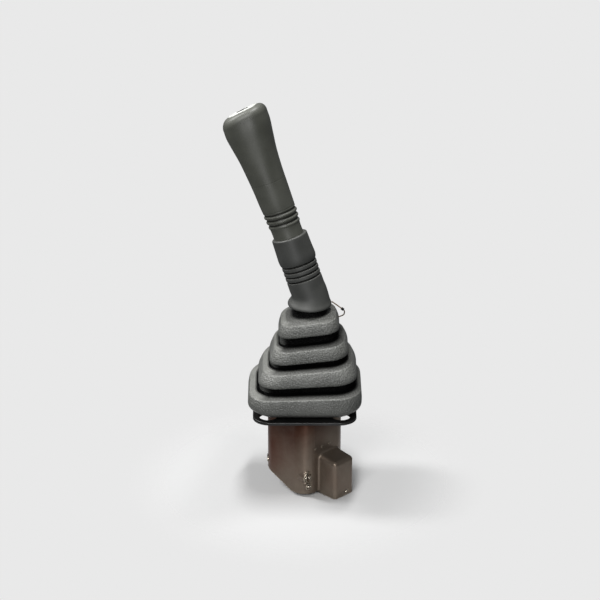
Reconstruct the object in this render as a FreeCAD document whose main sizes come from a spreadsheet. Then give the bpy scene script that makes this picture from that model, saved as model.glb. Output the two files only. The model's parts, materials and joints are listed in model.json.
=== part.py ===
"""Hydraulic pilot joystick valve: a cast four-spool pilot valve under a mounting plate, worked by a cranked hand lever.

Millimetres, +Z up. The origin is the centre of the mounting plate's underside, which lies on the console.
The lever leans to -X, and the port box stands on the face of the valve body that looks to +X -Y.
"""
import FreeCAD, Part
import math
import os

import Sketcher

V = FreeCAD.Vector
doc = FreeCAD.newDocument("PilotJoystick")

# Driving dimensions. Each row is an alias, a plain number and what it sizes.
DIMENSIONS = [
    ("plate_width", 108, "mounting plate, across its flats"),
    ("plate_thickness", 3, "mounting plate"),
    ("plate_corner", 18, "mounting plate corner radius"),
    ("console_inset", 16, "console bolt holes, in from the plate's edges"),
    ("console_hole", 19, "console bolt hole diameter"),
    ("body_flats", 64, "valve body across its flats"),
    ("body_corner", 16, "valve body corner radius"),
    ("body_height", 89, "valve body below the plate"),
    ("slant_rise", 15, "height of the slanted cut at the left foot of the body"),
    ("slant_run", 26, "width of the slanted cut"),
    ("box_width", 28.5, "port box, along the face that carries it"),
    ("box_shift", 3.6, "port box, off the middle of that face"),
    ("box_reach", 24, "port box, out from that face"),
    ("box_top", 49, "depth of the port box's top under the plate"),
    ("box_foot", 91, "depth of the port box's foot under the plate"),
    ("box_slope", 4, "fall of the port box's top, outwards"),
    ("box_round", 4.5, "rounding of the port box's edges"),
    ("port_diameter", 11.8, "tapping size of a port"),
    ("port_depth", 14, "threaded depth of a port"),
    ("slant_port_depth", 10.5, "threaded depth of the port in the slanted foot"),
    ("gallery_diameter", 6, "drilled and cored passages"),
    ("gallery_level", 65, "depth of the pressure drillings"),
    ("tank_level", 44, "depth of the tank ring passage"),
    ("plug_circle", 24, "radius on which the four push rods stand"),
    ("plug_diameter", 20, "push rod bush"),
    ("plug_length", 24, "push rod bush"),
    ("plug_skirt_bore", 15.8, "skirt of the bush, round the spring seat"),
    ("plug_skirt_depth", 9, "skirt of the bush"),
    ("chamber_diameter", 17, "spring chamber"),
    ("chamber_depth", 52, "foot of the spring chamber under the plate"),
    ("rod_diameter", 8, "push rod stem"),
    ("rod_collar", 12.5, "collar at the push rod's foot"),
    ("collar_thickness", 3, "collar at the push rod's foot"),
    ("seal_diameter", 14, "rod seal, outside"),
    ("seal_height", 4.5, "rod seal"),
    ("ring_cord", 2, "O-ring cord"),
    ("seat_diameter", 15, "spring seat"),
    ("seat_thickness", 3, "spring seat"),
    ("seat_hub", 8, "spring seat hub"),
    ("seat_hub_length", 6, "spring seat hub"),
    ("spool_diameter", 8, "spool lands"),
    ("spool_waist", 5, "spool between its lands"),
    ("spool_stem", 4, "spool stem in the spring seat"),
    ("spool_length", 19, "spool below the chamber's foot"),
    ("return_wire", 1.5, "return spring wire"),
    ("return_turns", 6, "return spring turns"),
    ("meter_wire", 0.9, "metering spring wire"),
    ("meter_turns", 5, "metering spring turns"),
    ("running_gap", 0.04, "radial clearance of a shaft in its bore"),
    ("seat_gap", 0.3, "clearance of pieces that move past each other"),
    ("pivot_height", 16, "centre of the universal joint over the plate's underside"),
    ("disc_lift", 6, "swash face over the joint's centre"),
    ("disc_gap", 0.55, "push rod tip under the swash face at rest"),
    ("disc_radius", 30, "swash disc rim"),
    ("disc_face", 18.5, "inner radius of the swash face"),
    ("disc_rim", 5, "thickness of the swash disc's rim"),
    ("disc_top", 41, "top of the swash disc's hub"),
    ("disc_hub", 13, "hub radius of the swash disc"),
    ("joint_stud", 12, "thread of the universal joint, both ends"),
    ("joint_stud_depth", 16, "lower stud under the plate"),
    ("joint_flange", 11, "radius of the lower yoke's hexagon"),
    ("ear_thickness", 3.5, "yoke ears"),
    ("ear_width", 10, "yoke ears"),
    ("ear_inner", 5.5, "half the space between a pair of ears"),
    ("cross_pin", 5, "cross pin diameter"),
    ("nut_radius", 10.5, "adjusting nut, to its corners"),
    ("nut_height", 7, "adjusting nut"),
    ("coupling_radius", 9, "coupling of the lever rod, to its corners"),
    ("coupling_height", 20, "coupling of the lever rod"),
    ("lever_diameter", 10, "lever rod"),
    ("neck_shift", 5, "sideways crank of the lever rod under the sleeve"),
    ("neck_height", 112, "sleeve lip over the plate's underside"),
    ("bend_rise", 13, "corner of the lean over the sleeve lip"),
    ("lever_lean", 18, "lean of the lever above the neck, in degrees"),
    ("sleeve_length", 82, "sleeve along the lever"),
    ("sleeve_radius", 18.9, "sleeve between its lip and shoulder"),
    ("lip_radius", 22.6, "flared lip of the sleeve"),
    ("skirt_wall", 3, "wall of the sleeve's skirt"),
    ("groove_pitch", 5.7, "grooves of the sleeve"),
    ("grip_length", 143, "grip above the sleeve"),
    ("grip_neck", 15.6, "grip radius at its neck"),
    ("grip_head", 24.2, "half width of the grip's head"),
    ("grip_depth", 22.3, "half depth of the grip's head, front to back"),
    ("grip_sweep", 3.3, "sideways sweep of the grip's head"),
    ("rib_pitch", 5.9, "ribs at the grip's foot"),
    ("rod_in_grip", 92, "lever rod inside the grip"),
    ("spigot_depth", 8, "grip spigot in the sleeve"),
    ("top_slope_across", 9, "slope of the grip's top to the left, in degrees"),
    ("top_slope_back", 14, "slope of the grip's top to the back, in degrees"),
    ("cap_width", 30, "cap on the grip, along the lean"),
    ("cap_depth", 28, "cap on the grip, front to back"),
    ("cap_thickness", 3, "cap on the grip"),
    ("button_diameter", 14, "push button"),
    ("button_height", 0.3, "push button over the cap"),
    ("button_travel", 1.6, "push button travel"),
    ("fold_tilt", 0.14, "slope of the folds across the bellows at its neck"),
    ("bellows_wall", 2.2, "bellows rubber"),
    ("frame_thickness", 2, "frame in the bellows' foot"),
    ("screw_diameter", 5, "plate screws"),
    ("screw_circle", 26, "radius of the plate screws"),
    ("lead_diameter", 1.3, "electric lead"),
    ("splice_diameter", 3, "splice on the lead"),
]

sheet = doc.addObject("Spreadsheet::Sheet", "Sizes")
for row, (alias, value, meaning) in enumerate(DIMENSIONS, start=1):
    sheet.set(f"A{row}", meaning)
    sheet.set(f"B{row}", str(value))
    sheet.setAlias(f"B{row}", alias)
doc.recompute()


def size(alias):
    """Value of one driving dimension."""
    return float(sheet.get(alias))


def cell(expression):
    """Expression with each alias written as a reference to the sheet."""
    words = sorted((alias for alias, _, _ in DIMENSIONS), key=len, reverse=True)
    out, i = "", 0
    while i < len(expression):
        match = next((w for w in words if expression.startswith(w, i)), None)
        out += "Sizes." + match if match else expression[i]
        i += len(match) if match else 1
    return out


# The finished solids, by the name of the file that each is written to.
finished = {}


def keep(label, obj):
    """Name a finished object and list it for export."""
    obj.Label = label
    finished[label] = obj
    return obj


def solid_feature(label, shape, place=None):
    """Shape made by the part functions, kept as one object."""
    feature = doc.addObject("Part::Feature", label)
    feature.Shape = shape
    if place is not None:
        feature.Placement = place.multiply(shape.Placement)
    return keep(label, feature)


def plane_of(body, role):
    """Origin plane of a body."""
    return next(f for f in body.Origin.OriginFeatures if f.Role == role)


def polygon_sketch(body, name, role, corners):
    """Closed outline whose corners are pairs of expressions, measured from the body's origin.

    Every corner but those on an axis is held by two driven distances, so the outline follows the sheet.
    """
    sketch = body.newObject("Sketcher::SketchObject", name)
    sketch.AttachmentSupport = [(plane_of(body, role), "")]
    sketch.MapMode = "FlatFace"
    points = [V(evaluate(x), evaluate(y), 0) for x, y in corners]
    count = len(points)
    for i in range(count):
        sketch.addGeometry(Part.LineSegment(points[i], points[(i + 1) % count]), False)
    for i in range(count):
        sketch.addConstraint(Sketcher.Constraint("Coincident", i, 2, (i + 1) % count, 1))
    for i, (x, y) in enumerate(corners):
        for kind, axis, text, along in (("DistanceX", -2, x, points[i].x), ("DistanceY", -1, y, points[i].y)):
            if abs(along) < 1e-9:
                sketch.addConstraint(Sketcher.Constraint("PointOnObject", i, 1, axis))
            else:
                index = sketch.addConstraint(Sketcher.Constraint(kind, -1, 1, i, 1, along))
                sketch.setExpression(f"Constraints[{index}]", cell(text))
    return sketch


def evaluate(expression):
    """Number that an expression gives with the sheet's values."""
    names = {alias: size(alias) for alias, _, _ in DIMENSIONS}
    text = expression
    for word in sorted(names, key=len, reverse=True):
        text = text.replace(word, f"({names[word]})")
    total = FreeCAD.Units.Quantity(text)
    return total.Value


def turned(label, corners, place=None):
    """Solid of revolution about its own Z, from an outline of radius and height expressions."""
    body = doc.addObject("PartDesign::Body", label + "_body")
    sketch = polygon_sketch(body, label + "_outline", "XZ_Plane", corners)
    turn = body.newObject("PartDesign::Revolution", label + "_turn")
    turn.Profile = sketch
    turn.ReferenceAxis = (sketch, ["V_Axis"])
    turn.Angle = 360
    sketch.Visibility = False
    if place is not None:
        body.Placement = place
    return keep(label, body)


def cylinder(name, radius, height, place=None):
    """Cylinder whose radius and height are expressions."""
    obj = doc.addObject("Part::Cylinder", name)
    obj.setExpression("Radius", cell(radius))
    obj.setExpression("Height", cell(height))
    if place is not None:
        obj.Placement = place
    return obj


def cut(name, base, tools):
    """Base less each tool in turn."""
    result = base
    for number, tool in enumerate(tools, start=1):
        step = doc.addObject("Part::Cut", f"{name}_cut_{number}")
        step.Base = result
        step.Tool = tool
        result = step
    return result


def fuse(name, shapes):
    """All shapes as one."""
    joined = doc.addObject("Part::MultiFuse", name)
    joined.Shapes = shapes
    return joined


def at(x=0.0, y=0.0, z=0.0, axis=V(0, 0, 1), turn=0.0):
    """Placement at a point, turned by degrees about an axis."""
    return FreeCAD.Placement(V(x, y, z), FreeCAD.Rotation(axis, turn))


def facing(x, y, z, direction):
    """Placement at a point with local Z along a direction."""
    return FreeCAD.Placement(V(x, y, z), FreeCAD.Rotation(V(0, 0, 1), direction))


def rounded_square(half, corner, z, x=0.0, depth=None, back=None):
    """Wire of a square with round corners, centred at x, at a height. The corners at the back may be rounder."""
    deep = half if depth is None else depth
    widest = 0.98 * min(half, deep)
    near = min(corner, widest)
    far = near if back is None else min(back, widest)
    edges = []
    corners = [(1, -1, near), (1, 1, far), (-1, 1, far), (-1, -1, near)]
    for i, (sx, sy, r) in enumerate(corners):
        nx, ny, s = corners[(i + 1) % 4]
        k = s * (1 - math.sqrt(0.5))
        if i % 2 == 0:
            leave, enter = (half * sx, (deep - r) * sy), (half * nx, (deep - s) * ny)
            arc = [(half * nx, (deep - s) * ny), ((half - k) * nx, (deep - k) * ny), ((half - s) * nx, deep * ny)]
        else:
            leave, enter = ((half - r) * sx, deep * sy), ((half - s) * nx, deep * ny)
            arc = [((half - s) * nx, deep * ny), ((half - k) * nx, (deep - k) * ny), (half * nx, (deep - s) * ny)]
        edges.append(Part.makeLine(V(leave[0] + x, leave[1], z), V(enter[0] + x, enter[1], z)))
        a, b, c = (V(p[0] + x, p[1], z) for p in arc)
        edges.append(Part.Arc(a, b, c).toShape())
    return Part.Wire(edges)


# Directions and places that several pieces share.
FACE = V(math.sqrt(0.5), -math.sqrt(0.5), 0)       # outward from the face that carries the port box
ALONG = V(math.sqrt(0.5), math.sqrt(0.5), 0)       # along that face, away from the near corner
STATIONS = {"right": (1, 0), "back": (0, 1), "left": (-1, 0), "front": (0, -1)}
QUARTER = {"right": 0, "back": 90, "left": 180, "front": 270}
pivot = V(0, 0, size("pivot_height"))
circle = size("plug_circle")
face_at = size("body_flats") / 2
body_foot = -size("body_height")
slant = V(-size("slant_rise"), 0, -size("slant_run")).normalize()
left_corner = face_at * math.sqrt(2) - size("body_corner") * (math.sqrt(2) - 1)
slant_middle = V(-left_corner + size("slant_run") / 2, 0, body_foot + size("slant_rise") / 2)


def on_face(along, out, z):
    """Point at a distance along and out from the middle of the face that carries the port box."""
    return ALONG * along + FACE * (face_at + out) + V(0, 0, z)


def valve_body():
    """Cast body: a square column turned 45 degrees, a port box, plug bosses, and every bore and passage."""
    column = Part.Face(rounded_square(face_at, size("body_corner"), 0)).extrude(V(0, 0, body_foot))
    column.rotate(V(0, 0, 0), V(0, 0, 1), 45)
    column = column.makeChamfer(1.0, lowest_edges(column, body_foot))
    reach, width = size("box_reach"), size("box_width")
    foot, top = -size("box_foot"), -size("box_top")
    buried = size("body_corner") / 2
    inner, outer_face = face_at - buried, face_at + reach
    side = [(inner, foot), (outer_face, foot), (outer_face, top), (inner, top + size("box_slope")), (inner, foot)]
    corners = [V(x, size("box_shift") - width / 2, z) for x, z in side]
    box = Part.Face(Part.makePolygon(corners)).extrude(V(0, width, 0))
    outer = [e for e in box.Edges if e.CenterOfMass.x > face_at and not on_foot(e, foot)]
    box = box.makeFillet(size("box_round"), outer)
    box.rotate(V(0, 0, 0), V(0, 0, 1), -45)
    casting = column.fuse(box).removeSplitter()
    weld = [e for e in casting.Edges if is_weld(e, face_at)]
    casting = casting.makeFillet(size("box_round") * 0.5, weld)
    for along, z, radius, out in BOSSES:
        start = on_face(along, -size("body_corner") * 0.7, z)
        casting = casting.fuse(Part.makeCylinder(radius, size("body_corner") * 0.7 + out, start, FACE))
    for along in PIPS:
        casting = casting.fuse(Part.makeCylinder(1.5, 1.6, on_face(along, -1, PIP_LEVEL), FACE))
    casting = casting.removeSplitter()
    grade = size("slant_rise") / size("slant_run")
    wedge = Part.makePolygon([
        V(-left_corner - 1, -60, body_foot + size("slant_rise") + grade),
        V(-left_corner - 1, -60, body_foot - 1),
        V(-left_corner + size("slant_run") + 1 / grade, -60, body_foot - 1),
        V(-left_corner - 1, -60, body_foot + size("slant_rise") + grade),
    ])
    casting = casting.cut(Part.Face(wedge).extrude(V(0, 120, 0)))
    return casting.cut(passages())


def lowest_edges(shape, z):
    """Edges that lie at one height."""
    return [e for e in shape.Edges if on_foot(e, z)]


def on_foot(edge, z):
    """Whether an edge lies wholly at a height."""
    return abs(edge.BoundBox.ZMin - z) < 1e-6 and abs(edge.BoundBox.ZMax - z) < 1e-6


def is_weld(edge, plane):
    """Whether an edge runs where the port box meets its face, off the box's foot."""
    inside = abs(edge.CenterOfMass.dot(FACE) - plane) < 1e-6
    high = edge.BoundBox.ZMax < size("box_slope") - size("box_top") + 1e-6 and edge.BoundBox.ZMin > body_foot - 1e-6
    near = abs(edge.CenterOfMass.dot(ALONG) - size("box_shift")) <= size("box_width") / 2 + 1e-6
    return inside and high and near and edge.Length < size("box_foot") - size("box_top") + 1


# Bosses for the closing plugs on the box's face: place along it, height, radius and stand-out.
BOSSES = [(-26.0, -68, 6.0, -0.6), (-25.0, -79, 3.7, -0.6)]
PIPS = [-15.5, -6.0, 5]
PIP_LEVEL = -38


def passages():
    """Every bore, port and gallery of the valve body as one tool."""
    cuts = []
    gallery = size("gallery_diameter") / 2
    level = -size("gallery_level")
    port = size("port_diameter") / 2
    up = V(0, 0, 1)
    for name, (sx, sy) in STATIONS.items():
        x, y = sx * circle, sy * circle
        cuts.append(Part.makeCylinder(size("plug_diameter") / 2, size("plug_length"), V(x, y, 0), -up))
        cuts.append(Part.makeCylinder(size("chamber_diameter") / 2, size("chamber_depth"), V(x, y, 0), -up))
        bore = size("spool_diameter") / 2 + size("running_gap")
        cuts.append(Part.makeCylinder(bore, size("body_height") - size("port_depth") + 1, V(x, y, 0), -up))
        if name != "left":
            cuts.append(Part.makeCylinder(port, size("port_depth"), V(x, y, body_foot), up))
    cuts.append(Part.makeCylinder(port, size("slant_port_depth") + 1, slant_middle + slant, -slant))
    cuts.append(Part.makeCylinder(port, size("port_depth"), V(0, 0, body_foot), up))
    cuts.append(Part.makeCylinder(gallery, level - body_foot, V(0, 0, body_foot), up))
    cuts.append(Part.makeCylinder(gallery, circle + left_corner, V(-left_corner, 0, level), V(1, 0, 0)))
    cuts.append(Part.makeCylinder(gallery, circle + left_corner, V(0, left_corner, level), V(0, -1, 0)))
    for way in (V(-1, 0, 0), V(0, 1, 0)):
        cuts.append(Part.makeCylinder(gallery + 1.5, 5, way * left_corner + V(0, 0, level), -way))
    cuts.append(Part.makeTorus(circle, gallery / 2 + 1, V(0, 0, -size("tank_level")), up))
    box_middle = on_face(size("box_shift"), size("box_reach") / 2, -size("box_foot"))
    cuts.append(Part.makeCylinder(port, size("port_depth"), box_middle, up))
    top_of_port = box_middle + V(0, 0, size("port_depth") - 1)
    ring_point = FACE * circle + V(0, 0, -size("tank_level"))
    run = ring_point - top_of_port
    cuts.append(Part.makeCylinder(gallery * 0.8, run.Length, top_of_port, run))
    for along, z, radius, out in BOSSES:
        mouth = on_face(along, out, z)
        cuts.append(Part.makeCylinder(radius - 1.5, 3.5, mouth, -FACE))
    cuts.append(Part.makeCylinder(1.9, 3, box_plug_mouth(), -FACE))
    stud = size("joint_stud") / 2
    cuts.append(Part.makeCylinder(stud, size("joint_stud_depth") + 2, V(0, 0, 0), -up))
    for angle in (45, 135, 225, 315):
        spot = spin(V(size("screw_circle"), 0, 0), angle)
        cuts.append(Part.makeCylinder(size("screw_diameter") / 2, 14, spot, -up))
    return cuts[0].multiFuse(cuts[1:])


def box_plug_mouth():
    """Mouth of the small drilling in the outer face of the port box."""
    return on_face(size("box_shift") + 3, size("box_reach"), 4.5 - size("box_foot"))


def spin(point, angle):
    """Point turned about Z by an angle in degrees."""
    return FreeCAD.Rotation(V(0, 0, 1), angle).multVec(point)


def closing_plugs():
    """Steel plugs that close the drillings, each with a hexagon socket."""
    gallery = size("gallery_diameter") / 2
    level = -size("gallery_level")
    spots = [(on_face(along, out, z), FACE, radius - 1.5, 1.0) for along, z, radius, out in BOSSES]
    spots.append((box_plug_mouth(), FACE, 1.9, 0.4))
    for way in (V(-1, 0, 0), V(0, 1, 0)):
        spots.append((way * left_corner + V(0, 0, level), way, gallery + 1.5, 0.8))
    plugs = []
    for mouth, way, radius, proud in spots:
        buried = min(3.5, radius * 1.5)
        plug = Part.makeCylinder(radius, buried + proud, mouth - way * buried, way)
        rim = [e for e in plug.Edges if abs((e.CenterOfMass - mouth).dot(way) - proud) < 1e-6]
        plug = plug.makeChamfer(min(0.5, radius * 0.15), rim)
        socket = hexagon(radius * 0.48, mouth + way * (proud - buried * 0.5), way, 3)
        plugs.append(plug.cut(socket))
    return Part.makeCompound(plugs)


def hexagon(radius, start, way, height):
    """Hexagonal prism from a point along a direction, sized to its corners."""
    points = [V(radius * math.cos(math.radians(60 * i)), radius * math.sin(math.radians(60 * i)), 0)
              for i in range(7)]
    prism = Part.Face(Part.makePolygon(points)).extrude(V(0, 0, height))
    prism.Placement = facing(start.x, start.y, start.z, way)
    return prism


solid_feature("valve_body", valve_body())
solid_feature("closing_plugs", closing_plugs())


def mounting_plate():
    """Plate with corner windows, clamped between the lower yoke and the body."""
    half = size("plate_width") / 2
    thick = size("plate_thickness")
    plate = Part.Face(rounded_square(half, size("plate_corner"), 0)).extrude(V(0, 0, thick))
    plate = plate.makeFillet(0.8, [e for e in plate.Edges if on_foot(e, thick)])
    offset = half - size("console_inset")
    for sx in (-1, 1):
        for sy in (-1, 1):
            plate = plate.cut(Part.makeCylinder(size("console_hole") / 2, thick, V(sx * offset, sy * offset, 0)))
    for sx, sy in STATIONS.values():
        hole = size("rod_diameter") / 2 + size("seat_gap")
        plate = plate.cut(Part.makeCylinder(hole, thick, V(sx * circle, sy * circle, 0)))
    plate = plate.cut(Part.makeCylinder(size("joint_stud") / 2, thick))
    for angle in (45, 135, 225, 315):
        spot = spin(V(size("screw_circle"), 0, 0), angle)
        plate = plate.cut(Part.makeCylinder(size("screw_diameter") / 2, thick, spot))
    return plate


def plate_screws():
    """Four socket-head screws through the plate into the body."""
    screws = []
    thick, radius = size("plate_thickness"), size("screw_diameter") / 2
    for angle in (45, 135, 225, 315):
        spot = spin(V(size("screw_circle"), 0, 0), angle)
        head = Part.makeCylinder(radius * 1.7, radius * 1.8, spot + V(0, 0, thick))
        shank = Part.makeCylinder(radius, 13 + thick, spot + V(0, 0, -13))
        socket = hexagon(radius * 0.95, spot + V(0, 0, thick + radius * 0.8), V(0, 0, 1), radius * 2)
        screws.append(head.fuse(shank).cut(socket))
    return Part.makeCompound(screws)


solid_feature("mounting_plate", mounting_plate())
solid_feature("plate_screws", plate_screws())

# One cylinder of the valve: bush, seals, push rod, spring seat, springs and spool, at each of the four stations.
BUSH = [
    ("rod_diameter / 2 + running_gap", "0"),
    ("rod_diameter / 2 + running_gap", "-seal_height"),
    ("plug_skirt_bore / 2", "0"),
]


def station_place(name, z=0.0):
    """Placement of a piece that stands on the axis of one cylinder."""
    sx, sy = STATIONS[name]
    return at(sx * circle, sy * circle, z, V(0, 0, 1), QUARTER[name])


def bush(name):
    """Bush that guides the push rod: seal recess on top, O-ring groove outside, skirt below."""
    inner = "rod_diameter / 2 + running_gap"
    groove_low, groove_high = "plug_length * 0.5", "plug_length * 0.5 + ring_cord * 1.2"
    groove = "plug_diameter / 2 - ring_cord"
    corners = [
        ("plug_skirt_bore / 2", "0"),
        ("plug_diameter / 2", "0"),
        ("plug_diameter / 2", groove_low),
        (groove, groove_low),
        (groove, groove_high),
        ("plug_diameter / 2", groove_high),
        ("plug_diameter / 2", "plug_length"),
        ("seal_diameter / 2", "plug_length"),
        ("seal_diameter / 2", "plug_length - seal_height"),
        (inner, "plug_length - seal_height"),
        (inner, "plug_skirt_depth"),
        ("plug_skirt_bore / 2", "plug_skirt_depth"),
    ]
    turned(f"bush_{name}", corners, station_place(name, -size("plug_length")))


def rod_seal(name):
    """Lipped rubber seal round the push rod."""
    inner = "rod_diameter / 2 + running_gap"
    corners = [
        (inner, "0"),
        ("seal_diameter / 2", "0"),
        ("seal_diameter / 2", "seal_height"),
        ("rod_diameter / 2 + 1.4", "seal_height"),
        ("rod_diameter / 2 + 1.2", "seal_height - 1.2"),
        (inner, "seal_height - 1.2"),
    ]
    turned(f"rod_seal_{name}", corners, station_place(name, -size("seal_height")))


def bush_ring(name):
    """O-ring in the bush's groove."""
    ring = doc.addObject("Part::Torus", f"bush_ring_{name}")
    ring.setExpression("Radius1", cell("plug_diameter / 2 - ring_cord / 2"))
    ring.setExpression("Radius2", cell("ring_cord / 2"))
    ring.Placement = station_place(name, -size("plug_length") * 0.5 + size("ring_cord") * 0.6)
    keep(f"bush_ring_{name}", ring)


rod_foot = -size("plug_length") - size("collar_thickness")
rod_top = size("pivot_height") + size("disc_lift") - size("disc_gap")


def push_rod(name):
    """Push rod: domed tip under the swash disc, collar at its foot, blind bore for the spool's stem."""
    label = f"push_rod_{name}"
    straight = "plug_length + collar_thickness + pivot_height + disc_lift - disc_gap - rod_diameter / 2"
    stem = cylinder(label + "_stem", "rod_diameter / 2", straight)
    collar = cylinder(label + "_collar", "rod_collar / 2", "collar_thickness")
    dome = doc.addObject("Part::Sphere", label + "_dome")
    dome.setExpression("Radius", cell("rod_diameter / 2"))
    dome.setExpression("Placement.Base.z", cell(straight))
    bore = cylinder(label + "_bore", "spool_stem / 2 + seat_gap", "collar_thickness * 4")
    rod = cut(label, fuse(label + "_blank", [stem, dome, collar]), [bore])
    rod.Placement = station_place(name, rod_foot)
    keep(label, rod)


seat_top = rod_foot
seat_foot = seat_top - size("seat_thickness")
hub_foot = seat_foot - size("seat_hub_length")
chamber_foot = -size("chamber_depth")


def spring_seat(name):
    """Seat between the push rod and both springs."""
    corners = [
        ("spool_stem / 2 + running_gap", "0"),
        ("seat_hub / 2", "0"),
        ("seat_hub / 2", "seat_hub_length"),
        ("seat_diameter / 2", "seat_hub_length"),
        ("seat_diameter / 2", "seat_hub_length + seat_thickness"),
        ("spool_stem / 2 + running_gap", "seat_hub_length + seat_thickness"),
    ]
    turned(f"spring_seat_{name}", corners, station_place(name, hub_foot))


def coil(radius, wire, turns, low, high):
    """Helical spring with its wire's ends inside the two heights."""
    rise = high - low - wire
    path = Part.makeHelix(rise / turns, rise, radius)
    section = Part.Wire(Part.makeCircle(wire / 2, V(radius, 0, 0), V(0, 1, 0)))
    spring = Part.Wire(path.Edges).makePipeShell([section], True, True)
    spring.translate(V(0, 0, low + wire / 2))
    return spring


def springs(name):
    """Outer return spring on the chamber's foot, inner metering spring on the spool's shoulder."""
    outer = size("seat_diameter") / 2 - size("return_wire") / 2
    spring = coil(outer, size("return_wire"), size("return_turns"), chamber_foot, seat_foot)
    solid_feature(f"return_spring_{name}", spring, station_place(name))
    inner = size("spool_stem") / 2 + size("meter_wire") / 2 + size("seat_gap")
    spring = coil(inner, size("meter_wire"), size("meter_turns"), spool_shoulder, hub_foot)
    solid_feature(f"metering_spring_{name}", spring, station_place(name))


spool_shoulder = chamber_foot + 5
spool_foot = chamber_foot - size("spool_length") + 2.5


def spool(name):
    """Metering spool: two lands, a waist between them, a shoulder for its spring and a stem into the seat."""
    middle = "(spool_length - 2.5) / 2"
    top = "chamber_depth + spool_length - 2.5 - plug_length - collar_thickness"
    corners = [
        ("spool_stem * 0.325", "0"),
        ("spool_diameter / 2", "0"),
        ("spool_diameter / 2", middle + " - 2.5"),
        ("spool_waist / 2", middle + " - 2.5"),
        ("spool_waist / 2", middle + " + 2.5"),
        ("spool_diameter / 2", middle + " + 2.5"),
        ("spool_diameter / 2", "spool_length + 2.5"),
        ("spool_stem / 2", "spool_length + 2.5"),
        ("spool_stem / 2", top),
        ("0", top),
        ("0", middle),
        ("spool_stem * 0.325", middle),
    ]
    turned(f"spool_{name}", corners, station_place(name, spool_foot))


for station in STATIONS:
    bush(station)
    rod_seal(station)
    bush_ring(station)
    push_rod(station)
    spring_seat(station)
    spool(station)
    springs(station)


def lower_yoke():
    """Hexagon and stud screwed into the body, with two ears along X for the first pair of pins."""
    base = size("plate_thickness")
    stud = Part.makeCylinder(size("joint_stud") / 2, size("joint_stud_depth") + base,
                             V(0, 0, -size("joint_stud_depth")))
    flange = hexagon(size("joint_flange"), V(0, 0, base), V(0, 0, 1), 4)
    ears = yoke_ears(base + 3.5, size("pivot_height"), 1)
    return stud.fuse([flange] + ears).cut(pin_bores(V(1, 0, 0))).removeSplitter()


def yoke_ears(root, centre, side):
    """Pair of ears along X, rounded about the pin at the centre height. side is 1 for ears that point up."""
    inner, thick, width = size("ear_inner"), size("ear_thickness"), size("ear_width")
    ears = []
    for start in (-inner - thick, inner):
        low, high = min(root, centre), max(root, centre)
        plate = Part.makeBox(thick, width, high - low, V(start, -width / 2, low))
        end = Part.makeCylinder(width / 2, thick, V(start, 0, centre), V(1, 0, 0))
        ears.append(plate.fuse(end))
    return ears


def pin_bores(way):
    """Bore for a pair of cross pins."""
    reach = size("ear_inner") + size("ear_thickness") + 1
    radius = size("cross_pin") / 2 + size("running_gap")
    return Part.makeCylinder(radius, 2 * reach, pivot - way * reach, way)


def joint_cross():
    """Cross: a block with four pins, one pair in each yoke."""
    half = size("ear_inner") - size("seat_gap")
    reach = size("ear_inner") + size("ear_thickness") - 0.2
    block = Part.makeBox(2 * half, 2 * half, size("cross_pin") + 2,
                         V(-half, -half, size("pivot_height") - size("cross_pin") / 2 - 1))
    for way in (V(1, 0, 0), V(0, 1, 0)):
        block = block.fuse(Part.makeCylinder(size("cross_pin") / 2, 2 * reach, pivot - way * reach, way))
    upright = [e for e in block.Edges if e.Length > size("cross_pin") and abs(e.tangentAt(e.FirstParameter).z) > 0.99
               and abs(abs(e.CenterOfMass.x) - half) < 1e-6 and abs(abs(e.CenterOfMass.y) - half) < 1e-6]
    return block.makeChamfer(1.2, upright)


def upper_yoke():
    """Yoke with two ears along Y and the stud that carries the disc, the nut and the lever."""
    root = size("pivot_height") + 11
    ears = yoke_ears(root, size("pivot_height"), -1)
    for ear in ears:
        ear.rotate(V(0, 0, 0), V(0, 0, 1), 90)
    radius = size("ear_inner") + size("ear_thickness")
    hub = Part.makeCylinder(radius, 4, V(0, 0, root - 1))
    stud = Part.makeCylinder(size("joint_stud") / 2, stud_top - root, V(0, 0, root))
    return ears[0].fuse([ears[1], hub, stud]).cut(pin_bores(V(0, 1, 0))).removeSplitter()


nut_top = size("disc_top") + size("nut_height")
stud_top = nut_top + size("coupling_height") * 0.6
solid_feature("lower_yoke", lower_yoke())
solid_feature("joint_cross", joint_cross())
solid_feature("upper_yoke", upper_yoke())


def swash_disc():
    """Inverted dish on the upper stud, with a flat ring that bears on the push rods."""
    face = "pivot_height + disc_lift"
    corners = [
        ("disc_face", face),
        ("disc_radius", face),
        ("disc_radius", face + " + disc_rim"),
        ("disc_hub", "disc_top - 4"),
        ("disc_hub", "disc_top"),
        ("joint_stud / 2", "disc_top"),
        ("joint_stud / 2", "pivot_height + 14"),
        ("disc_hub - 2", "pivot_height + 14"),
    ]
    turned("swash_disc", corners)


swash_disc()
nut_blank = doc.addObject("Part::Prism", "adjusting_nut_blank")
nut_blank.Polygon = 6
nut_blank.setExpression("Circumradius", cell("nut_radius"))
nut_blank.setExpression("Height", cell("nut_height"))
nut = cut("adjusting_nut", nut_blank, [cylinder("adjusting_nut_bore", "joint_stud / 2", "nut_height")])
nut.setExpression("Placement.Base.z", cell("disc_top"))
keep("adjusting_nut", nut)

# The lever rod: straight out of its coupling, a small crank, then the lean. The neck is the corner of the lean.
neck = V(size("neck_shift"), 0, size("neck_height"))
lean = FreeCAD.Rotation(V(0, 1, 0), -size("lever_lean"))
up_lever = lean.multVec(V(0, 0, 1))
coupling_top = nut_top + size("coupling_height")
grip_axis_foot = neck + V(0, 0, size("bend_rise"))
rod_end = grip_axis_foot + up_lever * (size("sleeve_length") - size("bend_rise") + size("rod_in_grip"))


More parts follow.
